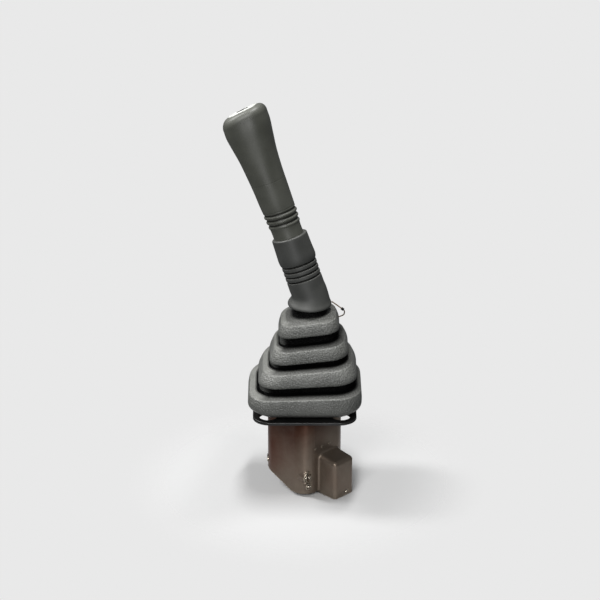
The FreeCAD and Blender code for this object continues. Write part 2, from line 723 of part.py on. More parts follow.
def rounded_path(points, radii):
    """Straight runs joined by tangent arcs of the given radii."""
    edges, start = [], points[0]
    for i in range(1, len(points) - 1):
        a = (points[i - 1] - points[i]).normalize()
        b = (points[i + 1] - points[i]).normalize()
        half = a.getAngle(b) / 2
        back = radii[i - 1] / math.tan(half)
        middle = (a + b).normalize()
        enter, leave = points[i] + a * back, points[i] + b * back
        peak = points[i] + middle * (radii[i - 1] / math.sin(half) - radii[i - 1])
        edges.append(Part.makeLine(start, enter))
        edges.append(Part.Arc(enter, peak, leave).toShape())
        start = leave
    edges.append(Part.makeLine(start, points[-1]))
    return Part.Wire(edges)


def tube(points, radii, radius):
    """Round bar along a rounded path."""
    path = rounded_path(points, radii)
    way = (points[1] - points[0]).normalize()
    section = Part.Wire(Part.makeCircle(radius, points[0], way))
    return path.makePipeShell([section], True, True)


def lever_rod():
    """Cranked rod with a hexagonal coupling that screws onto the upper stud."""
    route = [V(0, 0, coupling_top - 1), V(0, 0, coupling_top + 6), neck - V(0, 0, 12), grip_axis_foot, rod_end]
    rod = tube(route, [20, 20, 20], size("lever_diameter") / 2)
    coupling = hexagon(size("coupling_radius"), V(0, 0, nut_top), V(0, 0, 1), size("coupling_height"))
    thread = Part.makeCylinder(size("joint_stud") / 2, stud_top - nut_top, V(0, 0, nut_top))
    return coupling.cut(thread).fuse(rod).removeSplitter()


solid_feature("lever_rod", lever_rod())


def lever_place(along):
    """Placement on the leaning axis of the lever, at a distance above the neck."""
    return FreeCAD.Placement(grip_axis_foot + up_lever * (along - size("bend_rise")), lean)


def sleeve():
    """Rubber sleeve: shoulder on top, four grooves, and a hollow skirt that flares to a level lip."""
    length, radius, pitch = size("sleeve_length"), size("sleeve_radius"), size("groove_pitch")
    join = length * 0.27
    profile = [V(0, 0, join), V(radius - 0.2, 0, join)]
    for i in range(4):
        z = length - 50.3 + i * pitch
        profile += [V(radius - 0.9, 0, z), V(radius - 2.2, 0, z + 1.2), V(radius - 2.2, 0, z + 2.0),
                    V(radius - 0.9, 0, z + 3.2)]
    profile += [V(radius - 0.2, 0, length - 29.4), V(radius + 0.3, 0, length - 25.5), V(radius, 0, length - 10),
                V(radius - 0.3, 0, length - 2.5), V(radius - 0.8, 0, length - 0.8), V(radius - 1.8, 0, length),
                V(0, 0, length), V(0, 0, join)]
    barrel = Part.Face(Part.makePolygon(profile)).revolve(V(0, 0, 0), V(0, 0, 1), 360)
    barrel.Placement = lever_place(0)
    outside = skirt(0.0, join)
    inside = skirt(size("skirt_wall"), join)
    recess = Part.makeCylinder(radius - 6.5, size("spigot_depth"), V(0, 0, length - size("spigot_depth")))
    recess.Placement = lever_place(0)
    return barrel.fuse(outside).removeSplitter().cut([inside, recess, lever_clearance()])


def skirt(wall, join):
    """Lofted skirt from the level lip to the leaning barrel, smaller by a wall."""
    lip, radius = size("lip_radius") - wall, size("sleeve_radius") - 0.2 - wall
    lift = 0.0 if wall == 0 else -0.5
    low = Part.Wire(Part.makeCircle(lip, neck + V(0, 0, lift)))
    rim = Part.Wire(Part.makeCircle(lip, neck + V(0, 0, 2.5)))
    waist_place = FreeCAD.Placement(neck + V(0.2, 0, 10), FreeCAD.Rotation(V(0, 1, 0), -size("lever_lean") * 0.5))
    waist = Part.Wire(Part.makeCircle(radius + 1.5))
    waist.Placement = waist_place
    top = Part.Wire(Part.makeCircle(radius))
    top.Placement = lever_place(join - (0 if wall == 0 else 2))
    return Part.makeLoft([low, rim, waist, top], True, False)


def lever_clearance():
    """Bore for the lever rod through rubber and grip."""
    foot = neck - V(0, 0, 6)
    points = [foot, grip_axis_foot, rod_end + up_lever * 0.5]
    return tube(points, [20], size("lever_diameter") / 2)


solid_feature("sleeve", sleeve())
GRIP_START = size("sleeve_length")
grip_end = GRIP_START + size("grip_length")


head_tilt = FreeCAD.Rotation(V(0, 1, 0), -size("top_slope_across")).multiply(
    FreeCAD.Rotation(V(1, 0, 0), -size("top_slope_back")))


def head_place(lift):
    """Placement on the grip's sloping top, at a lift over it."""
    lean_part = lever_place(grip_end).multiply(at(-size("grip_sweep") * 0.8))
    return lean_part.multiply(FreeCAD.Placement(V(0, 0, 0), head_tilt)).multiply(at(0, 0, lift))


def ellipse_wire(half_x, half_y, along, shift, power, tilt):
    """Closed outline across the lever in four quarters, squarer as the power grows, sloping as the tilt grows."""
    across = math.tan(math.radians(size("top_slope_across"))) * tilt
    back = math.tan(math.radians(size("top_slope_back"))) * tilt

    def spot(x, y):
        return V(x + shift, y, along + x * across - y * back)

    edges = []
    for quarter in range(4):
        points = []
        for i in range(6):
            a = math.pi * (quarter / 2 + i / 10)
            c, s = round(math.cos(a), 9), round(math.sin(a), 9)
            x = math.copysign(abs(c) ** (2 / power), c) * half_x
            y = math.copysign(abs(s) ** (2 / power), s) * half_y
            points.append(spot(x, y))
        start, end = math.pi * quarter / 2, math.pi * (quarter + 1) / 2
        ways = [spot(-math.sin(a) * half_x, math.cos(a) * half_y) - spot(0, 0) for a in (start, end)]
        curve = Part.BSplineCurve()
        curve.interpolate(Points=points, InitialTangent=ways[0], FinalTangent=ways[1])
        edges.append(curve.toShape())
    return Part.Wire(edges)


def grip_foot(join):
    """Turned foot of the grip, with three rings moulded round it, up to where the shaft swells."""
    neck_r, start = size("grip_neck"), GRIP_START
    spigot_r, spigot_foot = size("sleeve_radius") - 6.7, start - size("spigot_depth") + 0.2
    outline = [V(0, 0, spigot_foot), V(spigot_r, 0, spigot_foot), V(spigot_r, 0, start), V(neck_r, 0, start)]
    for i in range(3):
        z, out = start + 14.2 + i * size("rib_pitch"), neck_r + 0.2 + 0.25 * i
        outline += [V(out, 0, z - 1.7), V(out + 0.5, 0, z - 0.9), V(out + 0.6, 0, z), V(out + 0.4, 0, z + 0.9),
                    V(out, 0, z + 1.5)]
    outline += [V(neck_r + 1.0, 0, join), V(0, 0, join), outline[0]]
    foot = Part.Face(Part.makePolygon(outline)).revolve(V(0, 0, 0), V(0, 0, 1), 360)
    return foot


def grip():
    """Moulded grip: spigot, ringed foot, swelling shaft and a wide head whose top slopes left and back."""
    length, neck_r = size("grip_length"), size("grip_neck")
    head, deep, sweep = size("grip_head"), size("grip_depth"), size("grip_sweep")
    join = GRIP_START + 14.2 + 2.6 * size("rib_pitch")
    share = (join - GRIP_START) / length
    rows = [  # height share, half width, half depth, sweep share, squareness, slope share
        (share - 0.015, neck_r + 0.9, neck_r + 0.9, 0.0, 2.0, 0.0),
        (share + 0.060, neck_r + 1.5, neck_r + 1.9, 0.25, 2.0, 0.0),
        (0.400, neck_r + 2.2, neck_r + 3.2, 0.50, 2.1, 0.1),
        (0.520, neck_r + 3.1, neck_r + 3.9, 0.70, 2.1, 0.2),
        (0.650, neck_r + 4.5, neck_r + 4.8, 0.85, 2.2, 0.35),
        (0.760, head - 1.9, deep - 0.9, 0.95, 2.3, 0.6),
        (0.860, head, deep, 1.0, 2.5, 0.85),
        (0.930, head - 0.1, deep - 0.1, 1.0, 2.6, 1.0),
        (0.972, head - 1.7, deep - 1.7, 0.95, 2.6, 1.0),
        (0.993, head - 4.9, deep - 4.7, 0.85, 2.5, 1.0),
        (1.000, head - 8.0, deep - 7.6, 0.80, 2.4, 1.0),
    ]
    wires = [ellipse_wire(w, d, GRIP_START + length * part, -sweep * move, power, tilt)
             for part, w, d, move, power, tilt in rows]
    shaft = Part.makeLoft(wires, True, False).fuse(grip_foot(join))
    shaft.Placement = lever_place(0)
    cavity = Part.makeCylinder(size("button_diameter") / 2 + 1, 16, V(0, 0, -16))
    cavity.Placement = head_place(0)
    seat = cap_prism(-size("cap_thickness"), size("cap_thickness") + 4, size("seat_gap") / 2)
    return shaft.cut([lever_clearance(), cavity, seat])


def cap_prism(low, height, grow):
    """Rounded plate on the head, from a lift over its top."""
    outline = rounded_square(size("cap_width") / 2 + grow, 9 + grow, low, 0, size("cap_depth") / 2 + grow)
    prism = Part.Face(outline).extrude(V(0, 0, height))
    prism.Placement = head_place(0)
    return prism


def grip_cap():
    """Pale cap plate in the head, bored for the button."""
    thick = size("cap_thickness")
    cap = cap_prism(-thick, thick + 0.8, 0)
    hole = Part.makeCylinder(size("button_diameter") / 2 + size("seat_gap"), thick + 2, V(0, 0, -thick - 0.5))
    hole.Placement = head_place(0)
    return cap.cut(hole)


def button():
    """Push button with a flange that keeps it under the cap."""
    radius, foot = size("button_diameter") / 2, -size("cap_thickness") - 2
    stem = Part.makeCylinder(radius, size("button_height") + 0.8 - foot, V(0, 0, foot))
    top = [e for e in stem.Edges if e.BoundBox.ZMin > foot + 1 and e.BoundBox.ZLength < 1e-6]
    stem = stem.makeFillet(0.9, top)
    shape = stem.fuse(Part.makeCylinder(radius + 0.7, 1.6, V(0, 0, foot)))
    shape.Placement = head_place(0)
    return shape


def switch():
    """Switch capsule in the head, under the button's flange."""
    case = cylinder("switch_case", "button_diameter / 2 + 1", "14 - cap_thickness - button_travel - seat_gap")
    case.Placement = head_place(-16)
    keep("switch_capsule", case)


solid_feature("grip", grip())
solid_feature("grip_cap", grip_cap())
solid_feature("push_button", button())
switch()

# Bellows: each fold is a skirt that hangs from a ridge over a recess, so the outline steps in above every ridge.
# Rows are height with the neck at FOLD_NECK, half depth, half width and share of the crank's shift.
LOWER_FOLDS = [
    (3.0, 36.0, 36.0, 0.00), (5.5, 49.5, 50.5, 0.00), (9.0, 55.5, 57.0, 0.00), (14.0, 57.6, 59.3, 0.00),
    (22.0, 57.8, 59.5, 0.03), (29.3, 57.0, 58.4, 0.08), (31.0, 55.2, 56.8, 0.12), (33.8, 48.0, 52.4, 0.35),
    (35.5, 41.0, 49.5, 0.45), (38.6, 41.0, 49.5, 0.50), (40.2, 48.4, 50.9, 0.55), (42.0, 49.6, 51.8, 0.57),
    (50.0, 48.8, 49.3, 0.56), (56.6, 47.6, 46.3, 0.54), (58.3, 46.0, 44.8, 0.56), (60.8, 39.0, 41.6, 0.65),
    (61.8, 32.0, 39.4, 0.68),
]
UPPER_FOLDS = [
    (61.8, 32.0, 39.4, 0.68), (62.9, 32.2, 39.4, 0.75), (63.9, 38.8, 40.3, 0.80), (65.4, 40.2, 41.1, 0.84),
    (72.0, 39.6, 38.8, 0.84), (78.9, 38.8, 36.0, 0.84), (80.6, 37.2, 34.8, 0.84), (83.4, 30.0, 31.8, 0.76),
    (84.9, 23.5, 29.8, 0.73), (88.2, 23.5, 29.8, 0.78), (89.6, 30.0, 31.0, 0.82), (91.4, 31.4, 31.7, 0.84),
    (98.0, 30.7, 30.1, 0.78), (103.8, 29.6, 28.5, 0.72), (105.4, 28.0, 27.0, 0.75), (108.4, 21.0, 21.6, 0.90),
    (110.4, 16.9, 17.1, 1.00), (112.0, 16.6, 16.6, 1.00), (119.0, 16.2, 16.2, 1.00),
]
# The last row but one lies at the sleeve's lip.
FOLD_NECK = UPPER_FOLDS[-2][0]


def bellows_shell(rows):
    """Rubber shell through the rows, open at both ends."""
    wall = size("bellows_wall")
    outer = Part.makeLoft([fold_wire(*row) for row in rows], True, True)
    first, last = rows[0], rows[-1]
    inner_rows = [(z, front - wall, side - wall, share) for z, front, side, share in rows]
    inner_rows.insert(0, (first[0] - 1, first[1] - wall, first[2] - wall, first[3]))
    inner_rows.append((last[0] + 1, last[1] - wall, last[2] - wall, last[3]))
    return outer.cut(Part.makeLoft([fold_wire(*row) for row in inner_rows], True, True))


def fold_wire(z, front, side, share):
    """Outline of the bellows at one height, round at the neck and the back and sloping more towards the neck."""
    roundness = 0.42 + 0.1 * z / 105 + 0.4 * min(1.0, max(0.0, (z - 104) / 6))
    back = max(roundness, 0.42 + 0.4 * min(1.0, max(0.0, (z - 9) / 12)))
    narrow = min(front, side)
    wire = rounded_square(side, narrow * roundness, 0, 0, front, narrow * back)
    rise = min(1.0, max(0.0, z - 12) / 60) * min(1.0, max(0.0, FOLD_NECK - z) / 8)
    slope = math.degrees(math.atan(size("fold_tilt") * rise))
    foot = size("plate_thickness")
    level = foot + (z - LOWER_FOLDS[0][0]) * (size("neck_height") - foot) / (FOLD_NECK - LOWER_FOLDS[0][0])
    wire.Placement = FreeCAD.Placement(V(size("neck_shift") * share, 0, level), FreeCAD.Rotation(V(0, 1, 0), -slope))
    return wire


solid_feature("bellows_lower", bellows_shell(LOWER_FOLDS))
solid_feature("bellows_upper", bellows_shell(UPPER_FOLDS))


def boot_frame():
    """Thin steel frame on the plate, over which the foot of the bellows snaps."""
    thick = size("frame_thickness")
    half = LOWER_FOLDS[0][1] - size("bellows_wall") - size("seat_gap")
    ring = Part.Face(rounded_square(half, half * 0.46, size("plate_thickness"))).extrude(V(0, 0, thick))
    return ring.cut(Part.Face(rounded_square(half - 4, half * 0.4, 0)).extrude(V(0, 0, 20)))


solid_feature("boot_frame", boot_frame())

# Lead: out of the sleeve's lip on the right, over to the splice, and down to the side of the top fold.
lead_route = [
    V(27.9, 0, 116.55), V(31.0, 0, 114.4), V(37.4, 0, 109.4), V(41.3, 0.6, 106.2), V(41.3, 2.8, 102.0),
    V(40.2, 5.2, 98.6), V(35.84, 7.2, 96.2),
]


def lead():
    """The lead with its splice."""
    radii = []
    for i in range(1, len(lead_route) - 1):
        a, b = lead_route[i] - lead_route[i - 1], lead_route[i + 1] - lead_route[i]
        radii.append(0.28 * min(a.Length, b.Length) / math.tan(a.getAngle(b) / 2))
    wire = tube(lead_route, radii, size("lead_diameter") / 2)
    run = lead_route[3] - lead_route[2]
    start = lead_route[2] + V(run).normalize() * 0.8
    return wire.fuse(Part.makeCylinder(size("splice_diameter") / 2, run.Length * 0.6, start, run))


solid_feature("lead", lead())

doc.recompute()
os.makedirs("parts", exist_ok=True)
for feature in doc.Objects:
    wrong = [state for state in feature.State if state in ("Invalid", "Error")]
    if wrong:
        raise RuntimeError(f"{feature.Label} failed: {wrong}")
for label, feature in finished.items():
    shape = feature.Shape
    if shape.isNull() or not shape.isValid() or not shape.Solids:
        raise RuntimeError(f"{label} is not a valid solid")
for label, feature in finished.items():
    feature.Shape.exportStep(f"parts/{label}.step")
print(len(finished), "pieces written")
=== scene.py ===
"""Hydraulic pilot joystick valve, dressed for rendering.

The CAD solids are loaded with their places; this script gives them their finishes and models the moulded rubber,
the hand grip, the cast details and the thin lead over them. Metres, +Z up, the lever leans to -X.
"""

from __future__ import annotations

import json
import logging
import math
from dataclasses import dataclass, field
from enum import Enum

import bmesh
import bpy
from bpy.types import ID, Material, Mesh, Node, NodeSocket, NodeTree, Object
from mathutils import Matrix, Vector

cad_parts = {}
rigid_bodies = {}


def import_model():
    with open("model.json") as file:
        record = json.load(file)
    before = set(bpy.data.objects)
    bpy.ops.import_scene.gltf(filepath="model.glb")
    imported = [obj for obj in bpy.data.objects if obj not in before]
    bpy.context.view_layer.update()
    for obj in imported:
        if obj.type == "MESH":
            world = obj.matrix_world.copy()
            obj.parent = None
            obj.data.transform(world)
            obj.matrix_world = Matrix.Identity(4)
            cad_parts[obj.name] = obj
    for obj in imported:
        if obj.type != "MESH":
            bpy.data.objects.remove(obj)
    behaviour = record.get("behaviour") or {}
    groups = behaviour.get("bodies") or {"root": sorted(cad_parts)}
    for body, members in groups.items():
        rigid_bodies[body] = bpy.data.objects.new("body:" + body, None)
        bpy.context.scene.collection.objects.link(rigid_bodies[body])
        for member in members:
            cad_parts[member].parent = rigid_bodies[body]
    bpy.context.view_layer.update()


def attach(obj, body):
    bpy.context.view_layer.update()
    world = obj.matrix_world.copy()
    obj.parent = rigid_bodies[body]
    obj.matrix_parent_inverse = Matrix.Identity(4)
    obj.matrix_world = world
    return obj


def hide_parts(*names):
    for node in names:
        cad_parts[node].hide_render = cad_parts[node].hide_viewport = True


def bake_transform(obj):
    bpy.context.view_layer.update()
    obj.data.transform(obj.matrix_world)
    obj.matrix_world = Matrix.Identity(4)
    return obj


log = logging.getLogger("joystick")
MM = 0.001
# Points in each outline round the lever.
ROUND = 96

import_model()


class Body(Enum):
    """Rigid bodies of the mechanism that dressed pieces ride on."""

    BASE = "base"
    CROSS = "cross"
    LEVER = "lever"
    BUTTON = "button"


class Station(Enum):
    """The four cylinders of the valve."""

    RIGHT = "right"
    BACK = "back"
    LEFT = "left"
    FRONT = "front"


# Materials


def linear(hex_colour: str) -> tuple[float, float, float, float]:
    """Turn an sRGB hex colour to linear RGBA.

    Args:
        hex_colour: Six hex digits with a leading hash.

    Returns:
        Red, green, blue and alpha for a shader socket.
    """
    parts = [int(hex_colour[i : i + 2], 16) / 255 for i in (1, 3, 5)]
    red, green, blue = (c / 12.92 if c <= 0.04045 else ((c + 0.055) / 1.055) ** 2.4 for c in parts)
    return (red, green, blue, 1.0)


def add(tree: NodeTree, kind: str, inputs: dict | None = None, **settings: object) -> Node:
    """Add a node with its settings and links.

    Args:
        tree: Node tree to add to.
        kind: Blender's node type name.
        inputs: Socket name or index to a value, or to an output socket to link from.
        **settings: Attributes of the node.

    Returns:
        The new node.
    """
    node = tree.nodes.new(kind)
    for name, value in settings.items():
        setattr(node, name, value)
    for key, value in (inputs or {}).items():
        if isinstance(value, NodeSocket):
            tree.links.new(value, node.inputs[key])
        else:
            node.inputs[key].default_value = value
    return node


def empty_tree(owner: ID) -> NodeTree:
    """Give a material or a world an empty node tree."""
    owner.use_nodes = True
    owner.node_tree.nodes.clear()
    return owner.node_tree


def toned(tree: NodeTree, share: NodeSocket, colour: object, other: str) -> NodeSocket:
    """Mix a colour, or the output that gives it, with a hex colour by a share."""
    return add(tree, "ShaderNodeMix", {"Factor": share, 6: colour, 7: linear(other)}, data_type="RGBA").outputs[2]


@dataclass(frozen=True)
class Grain:
    """One layer of surface relief on Object coordinates."""

    size_mm: float
    depth_mm: float
    detail: float = 2.0
    cells: bool = False


@dataclass(frozen=True)
class Finish:
    """A real surface: its colour range, gloss and relief.

    The colour drifts between two tones over a few centimetres, as moulded, cast and handled surfaces do. dust is
    the colour on faces that look up, recess the colour of painted shade deep in a recess, and worn a painted
    highlight on edges over edge_mm. shade_turn_mm is the stretch over which the second tone takes over, as painted
    shade from the upper left to the lower right, and soft_mm rounds the shading of edges.
    """

    name: str
    tone: str
    second_tone: str
    roughness: float
    roughness_spread: float = 0.05
    metallic: float = 0.0
    ior: float = 1.52
    drift_mm: float = 18.0
    grains: tuple[Grain, ...] = ()
    dust: str | None = None
    recess: str | None = None
    shade_turn_mm: tuple[float, float] | None = None
    soft_mm: float = 0.0
    edge_highlight: str | None = None
    edge_mm: float = 2.4

    def build(self) -> Material:
        """Make the material.

        Returns:
            A material whose patterns read Object coordinates.
        """
        material = bpy.data.materials.new(self.name)
        tree = empty_tree(material)
        place = add(tree, "ShaderNodeTexCoord").outputs["Object"]
        noise = add(tree, "ShaderNodeTexNoise", {"Vector": place, "Scale": 1000 / self.drift_mm, "Detail": 4.0})
        drift = noise.outputs["Fac"]
        share = add(tree, "ShaderNodeMapRange", {"Value": drift, "From Min": 0.35, "From Max": 0.65}).outputs[0]
        # Painted shade: darker towards the upper left, paler towards the lower right.
        if self.shade_turn_mm:
            share = self._painted_shade_turn(tree, place, share)
        colour = toned(tree, share, linear(self.tone), self.second_tone)
        if self.dust:
            colour = self._dusted(tree, place, colour)
        # Painted highlight: edges are lightened.
        if self.edge_highlight:
            colour = self._painted_edge_highlight(tree, colour)
        shine = 0.5
        # Painted shade: where the recess attribute is high, the colour darkens to the recess colour and the specular
        # falls.
        if self.recess:
            depth = add(tree, "ShaderNodeAttribute", attribute_name="recess").outputs["Fac"]
            colour = toned(tree, depth, colour, self.recess)
            shine = add(tree, "ShaderNodeMapRange", {"Value": depth, "To Min": 0.5, "To Max": 0.02}).outputs[0]
        low, high = self.roughness - self.roughness_spread, self.roughness + self.roughness_spread
        gloss = add(tree, "ShaderNodeMapRange",
                    {"Value": drift, "From Min": 0.3, "From Max": 0.7, "To Min": low, "To Max": high})
        sockets = {"Base Color": colour, "Roughness": gloss.outputs[0], "Metallic": self.metallic,
                   "Specular IOR Level": shine}
        shader = add(tree, "ShaderNodeBsdfPrincipled", sockets)
        if not self.metallic:
            shader.inputs["IOR"].default_value = self.ior
        if self.grains:
            tree.links.new(self._relief(tree, place), shader.inputs["Normal"])
        add(tree, "ShaderNodeOutputMaterial", {"Surface": shader.outputs[0]})
        return material

    def _painted_shade_turn(self, tree: NodeTree, place: NodeSocket, share: NodeSocket) -> NodeSocket:
        """Paint shade by tone: the first, darker tone at the upper left and the second taking over towards the lower
        right of the object.

        Args:
            tree: The material's node tree.
            place: Object coordinates.
            share: Share of the second tone where the two are even.

        Returns:
            Share of the second tone.
        """
        across = add(tree, "ShaderNodeVectorMath", {0: place, 1: (0.75, 0.0, -0.65)}, operation="DOT_PRODUCT")
        start, end = self.shade_turn_mm
        sockets = {"Value": across.outputs["Value"], "From Min": start * MM, "From Max": end * MM}
        turned = add(tree, "ShaderNodeMapRange", sockets, interpolation_type="SMOOTHSTEP")
        return add(tree, "ShaderNodeMix", {"Factor": 0.72, 2: share, 3: turned.outputs[0]}).outputs[0]

    def _painted_edge_highlight(self, tree: NodeTree, colour: NodeSocket) -> NodeSocket:
        """Paint a highlight on the edges by lightening them.

        Args:
            tree: The material's node tree.
            colour: Colour of the surface away from the edges.

        Returns:
            Colour with paler edges.
        """
        eased = add(tree, "ShaderNodeBevel", {"Radius": self.edge_mm * MM}, samples=8).outputs[0]
        normal = add(tree, "ShaderNodeNewGeometry").outputs["Normal"]
        flat = add(tree, "ShaderNodeVectorMath", {0: normal, 1: eased}, operation="DOT_PRODUCT").outputs["Value"]
        highlit_edge = add(tree, "ShaderNodeMapRange", {"Value": flat, "From Min": 0.995, "From Max": 0.88, "To Max": 0.8})
        return toned(tree, highlit_edge.outputs[0], colour, self.edge_highlight)

    def _dusted(self, tree: NodeTree, place: NodeSocket, colour: NodeSocket) -> NodeSocket:
        """Lay pale dust on faces that look up.

        Args:
            tree: The material's node tree.
            place: Object coordinates.
            colour: Colour of the clean surface.

        Returns:
            Colour with dust over it.
        """
        normal = add(tree, "ShaderNodeNewGeometry").outputs["Normal"]
        up = add(tree, "ShaderNodeSeparateXYZ", {0: normal}).outputs["Z"]
        speckle = add(tree, "ShaderNodeTexNoise", {"Vector": place, "Scale": 900.0, "Detail": 3.0})
        facing = add(tree, "ShaderNodeMapRange", {"Value": up, "From Min": 0.1, "From Max": 1.0, "To Max": 0.55})
        share = add(tree, "ShaderNodeMath", {0: facing.outputs[0], 1: speckle.outputs["Fac"]}, operation="MULTIPLY")
        return toned(tree, share.outputs[0], colour, self.dust)

    def _relief(self, tree: NodeTree, place: NodeSocket) -> NodeSocket:
        """Stack the grains as bumps.

        Args:
            tree: The material's node tree.
            place: Object coordinates.

        Returns:
            The bumped normal.
        """
        normal = None
        if self.soft_mm:
            normal = add(tree, "ShaderNodeBevel", {"Radius": self.soft_mm * MM}, samples=6).outputs[0]
        for grain in self.grains:
            if grain.cells:
                pattern = add(tree, "ShaderNodeTexVoronoi", {"Vector": place, "Scale": 1000 / grain.size_mm})
                height = pattern.outputs["Distance"]
            else:
                sockets = {"Vector": place, "Scale": 1000 / grain.size_mm, "Detail": grain.detail}
                height = add(tree, "ShaderNodeTexNoise", sockets).outputs["Fac"]
            bump = add(tree, "ShaderNodeBump", {"Height": height, "Distance": grain.depth_mm * MM})
            if normal is not None:
                tree.links.new(normal, bump.inputs["Normal"])
            normal = bump.outputs[0]
        return normal


class Finishes:
    """Every finish of the object, made once and named for the real material."""

    def __init__(self) -> None:
        """Build the materials."""
        # Glass-filled nylon, moulded with a fine satin spark texture: dark olive grey with a soft broad sheen.
        # The grip's recess colour is painted shade in the valleys between its rings and in its mould lines.
        self.grip = Finish(
            "glass-filled nylon, satin moulded", "#3D3E38", "#474842", 0.46, drift_mm=30.0,
            grains=(Grain(0.9, 0.02, 3.0),), dust="#7E7F78", recess="#0A0A09",
        ).build()
        # EPDM rubber of the sleeve: matt, with the fine stipple of its mould.
        # The sleeve's recess colour is painted shade in its grooves.
        self.sleeve = Finish(
            "EPDM rubber, stippled sleeve", "#2F302E", "#383937", 0.56, drift_mm=22.0,
            grains=(Grain(1.0, 0.035, 3.0),), dust="#82827D", recess="#080808",
        ).build()
        # Neoprene bellows with a leather-like pebble of about 1.2 mm, drawn a little coarse so that it shows.
        # The bellows' recess colour is painted shade in the recesses and on the fold tops under the fold above.
        self.bellows = Finish(
            "neoprene bellows, pebbled", "#50514E", "#60615E", 0.36, 0.06, drift_mm=26.0,
            grains=(Grain(1.9, 0.8, 2.0, True), Grain(0.8, 0.36, 3.0)), dust="#B4B4AE", recess="#090909",
        ).build()
        # Black powder coat on the steel plate: near black, slight orange peel, clear highlight along the rim.
        self.plate = Finish(
            "black powder coat", "#141414", "#1B1B1A", 0.38, ior=1.5, drift_mm=20.0, grains=(Grain(1.2, 0.012),),
        ).build()
        # Grey iron casting, manganese phosphated and oiled: brown-black, sand-cast skin, dull metallic sheen.
        # The casting's darker upper left, under the plate, is painted shade; its reddish cast is the iron's own tone.
        self.casting = Finish(
            "phosphated grey iron, oiled", "#43200F", "#71675C", 0.4, 0.06, metallic=0.68, drift_mm=30.0,
            grains=(Grain(2.6, 0.1, 4.0), Grain(0.8, 0.04, 2.0)), dust="#7A6F62", shade_turn_mm=(0.0, 46.0), soft_mm=1.0,
            # Colour of the painted highlight on the edges.
            edge_highlight="#B5AC9C",
        ).build()
        # Turned steel plugs, bare at their rims.
        self.plug = Finish(
            "turned steel plug", "#8E867B", "#9C9489", 0.26, metallic=1.0, drift_mm=6.0, grains=(Grain(0.5, 0.01),),
        ).build()
        # Zinc-plated fasteners: cool grey with a slight bloom.
        self.zinc = Finish("zinc-plated steel", "#8E8F8D", "#9A9B98", 0.34, metallic=1.0, drift_mm=8.0).build()
        # Machined steel of the joint and swash disc.
        self.machined = Finish(
            "machined steel, oiled", "#84847F", "#94948F", 0.33, 0.06, metallic=1.0, drift_mm=10.0,
            grains=(Grain(0.4, 0.006),),
        ).build()
        # Ground and polished push rods and spools.
        self.ground = Finish("ground steel", "#B4B4B0", "#BEBEBA", 0.18, 0.04, metallic=1.0, drift_mm=12.0).build()
        # Oil-tempered spring wire.
        self.spring = Finish("oil-tempered spring wire", "#5E5F60", "#6A6B6B", 0.36, metallic=1.0).build()
        # Black-oxide lever rod.
        self.oxide = Finish("black oxide steel", "#1E1E1D", "#262625", 0.42, metallic=0.7).build()
        # Nitrile seals.
        self.seal = Finish("nitrile rubber", "#151515", "#1C1C1B", 0.5).build()
        # Pale ABS cap in the grip's top, lightly textured.
        self.cap = Finish(
            "pale ABS cap", "#D6D7D1", "#DEDFD9", 0.34, ior=1.54, drift_mm=12.0, grains=(Grain(0.8, 0.008),),
        ).build()
        # Black ABS push button and switch case.
        self.button = Finish("black ABS", "#1F1F1E", "#272726", 0.38, ior=1.54).build()
        # PVC lead, thin and brown-grey, with a black heat-shrunk splice.
        self.lead = Finish("PVC lead jacket", "#5A4B3D", "#675746", 0.48, ior=1.53, drift_mm=6.0).build()
        self.shrink = Finish("heat-shrink sleeve", "#0E0E0E", "#151515", 0.35, ior=1.5, drift_mm=4.0).build()


# Mesh helpers

Ring = list[Vector]
Outline = list[tuple[float, float]]
Rows = list[tuple[float, ...]]


def linked(name: str, data: ID) -> Object:
    """Make an object of its data and link it to the scene."""
    obj = bpy.data.objects.new(name, data)
    bpy.context.scene.collection.objects.link(obj)
    return obj


def kept(mesh: bmesh.types.BMesh, name: str) -> Mesh:
    """Store a working mesh under a name and free it."""
    data = bpy.data.meshes.new(name)
    mesh.to_mesh(data)
    mesh.free()
    return data


def modified(obj: Object, kind: str, whole: bool = False, **settings: object) -> Mesh:
    """Mesh of an object under one modifier, which is taken off again.

    Args:
        obj: The object, which keeps its own mesh.
        kind: Blender's modifier type.
        whole: Keep all data layers, such as custom normals.
        **settings: Attributes of the modifier.

    Returns:
        The new mesh.
    """
    modifier = obj.modifiers.new("shape", kind)
    for name, value in settings.items():
        setattr(modifier, name, value)
    depsgraph = bpy.context.evaluated_depsgraph_get()
    source = obj.evaluated_get(depsgraph)
    mesh = bpy.data.meshes.new_from_object(source, preserve_all_data_layers=whole, depsgraph=depsgraph)
    obj.modifiers.clear()
    return mesh


def cad_object(node: str) -> Object:
    """The loaded object of a CAD node."""
    return next(o for o in bpy.data.objects if o.name == node or o.get("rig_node") == node)


def set_finish(obj: Object, material: Material) -> None:
    """Give an object one material, in place of any that it has."""
    obj.data.materials.clear()
    obj.data.materials.append(material)


def ramp(value: float, start: float, span: float) -> float:
    """Rise from 0 to 1 over a span from a start."""
    return min(1.0, max(0.0, (value - start) / span))


def level(place: Matrix, up: float, outline: Outline) -> Ring:
    """Ring of an outline, in millimetres, at a height in a frame."""
    return [place @ (Vector((x, y, up)) * MM) for x, y in outline]


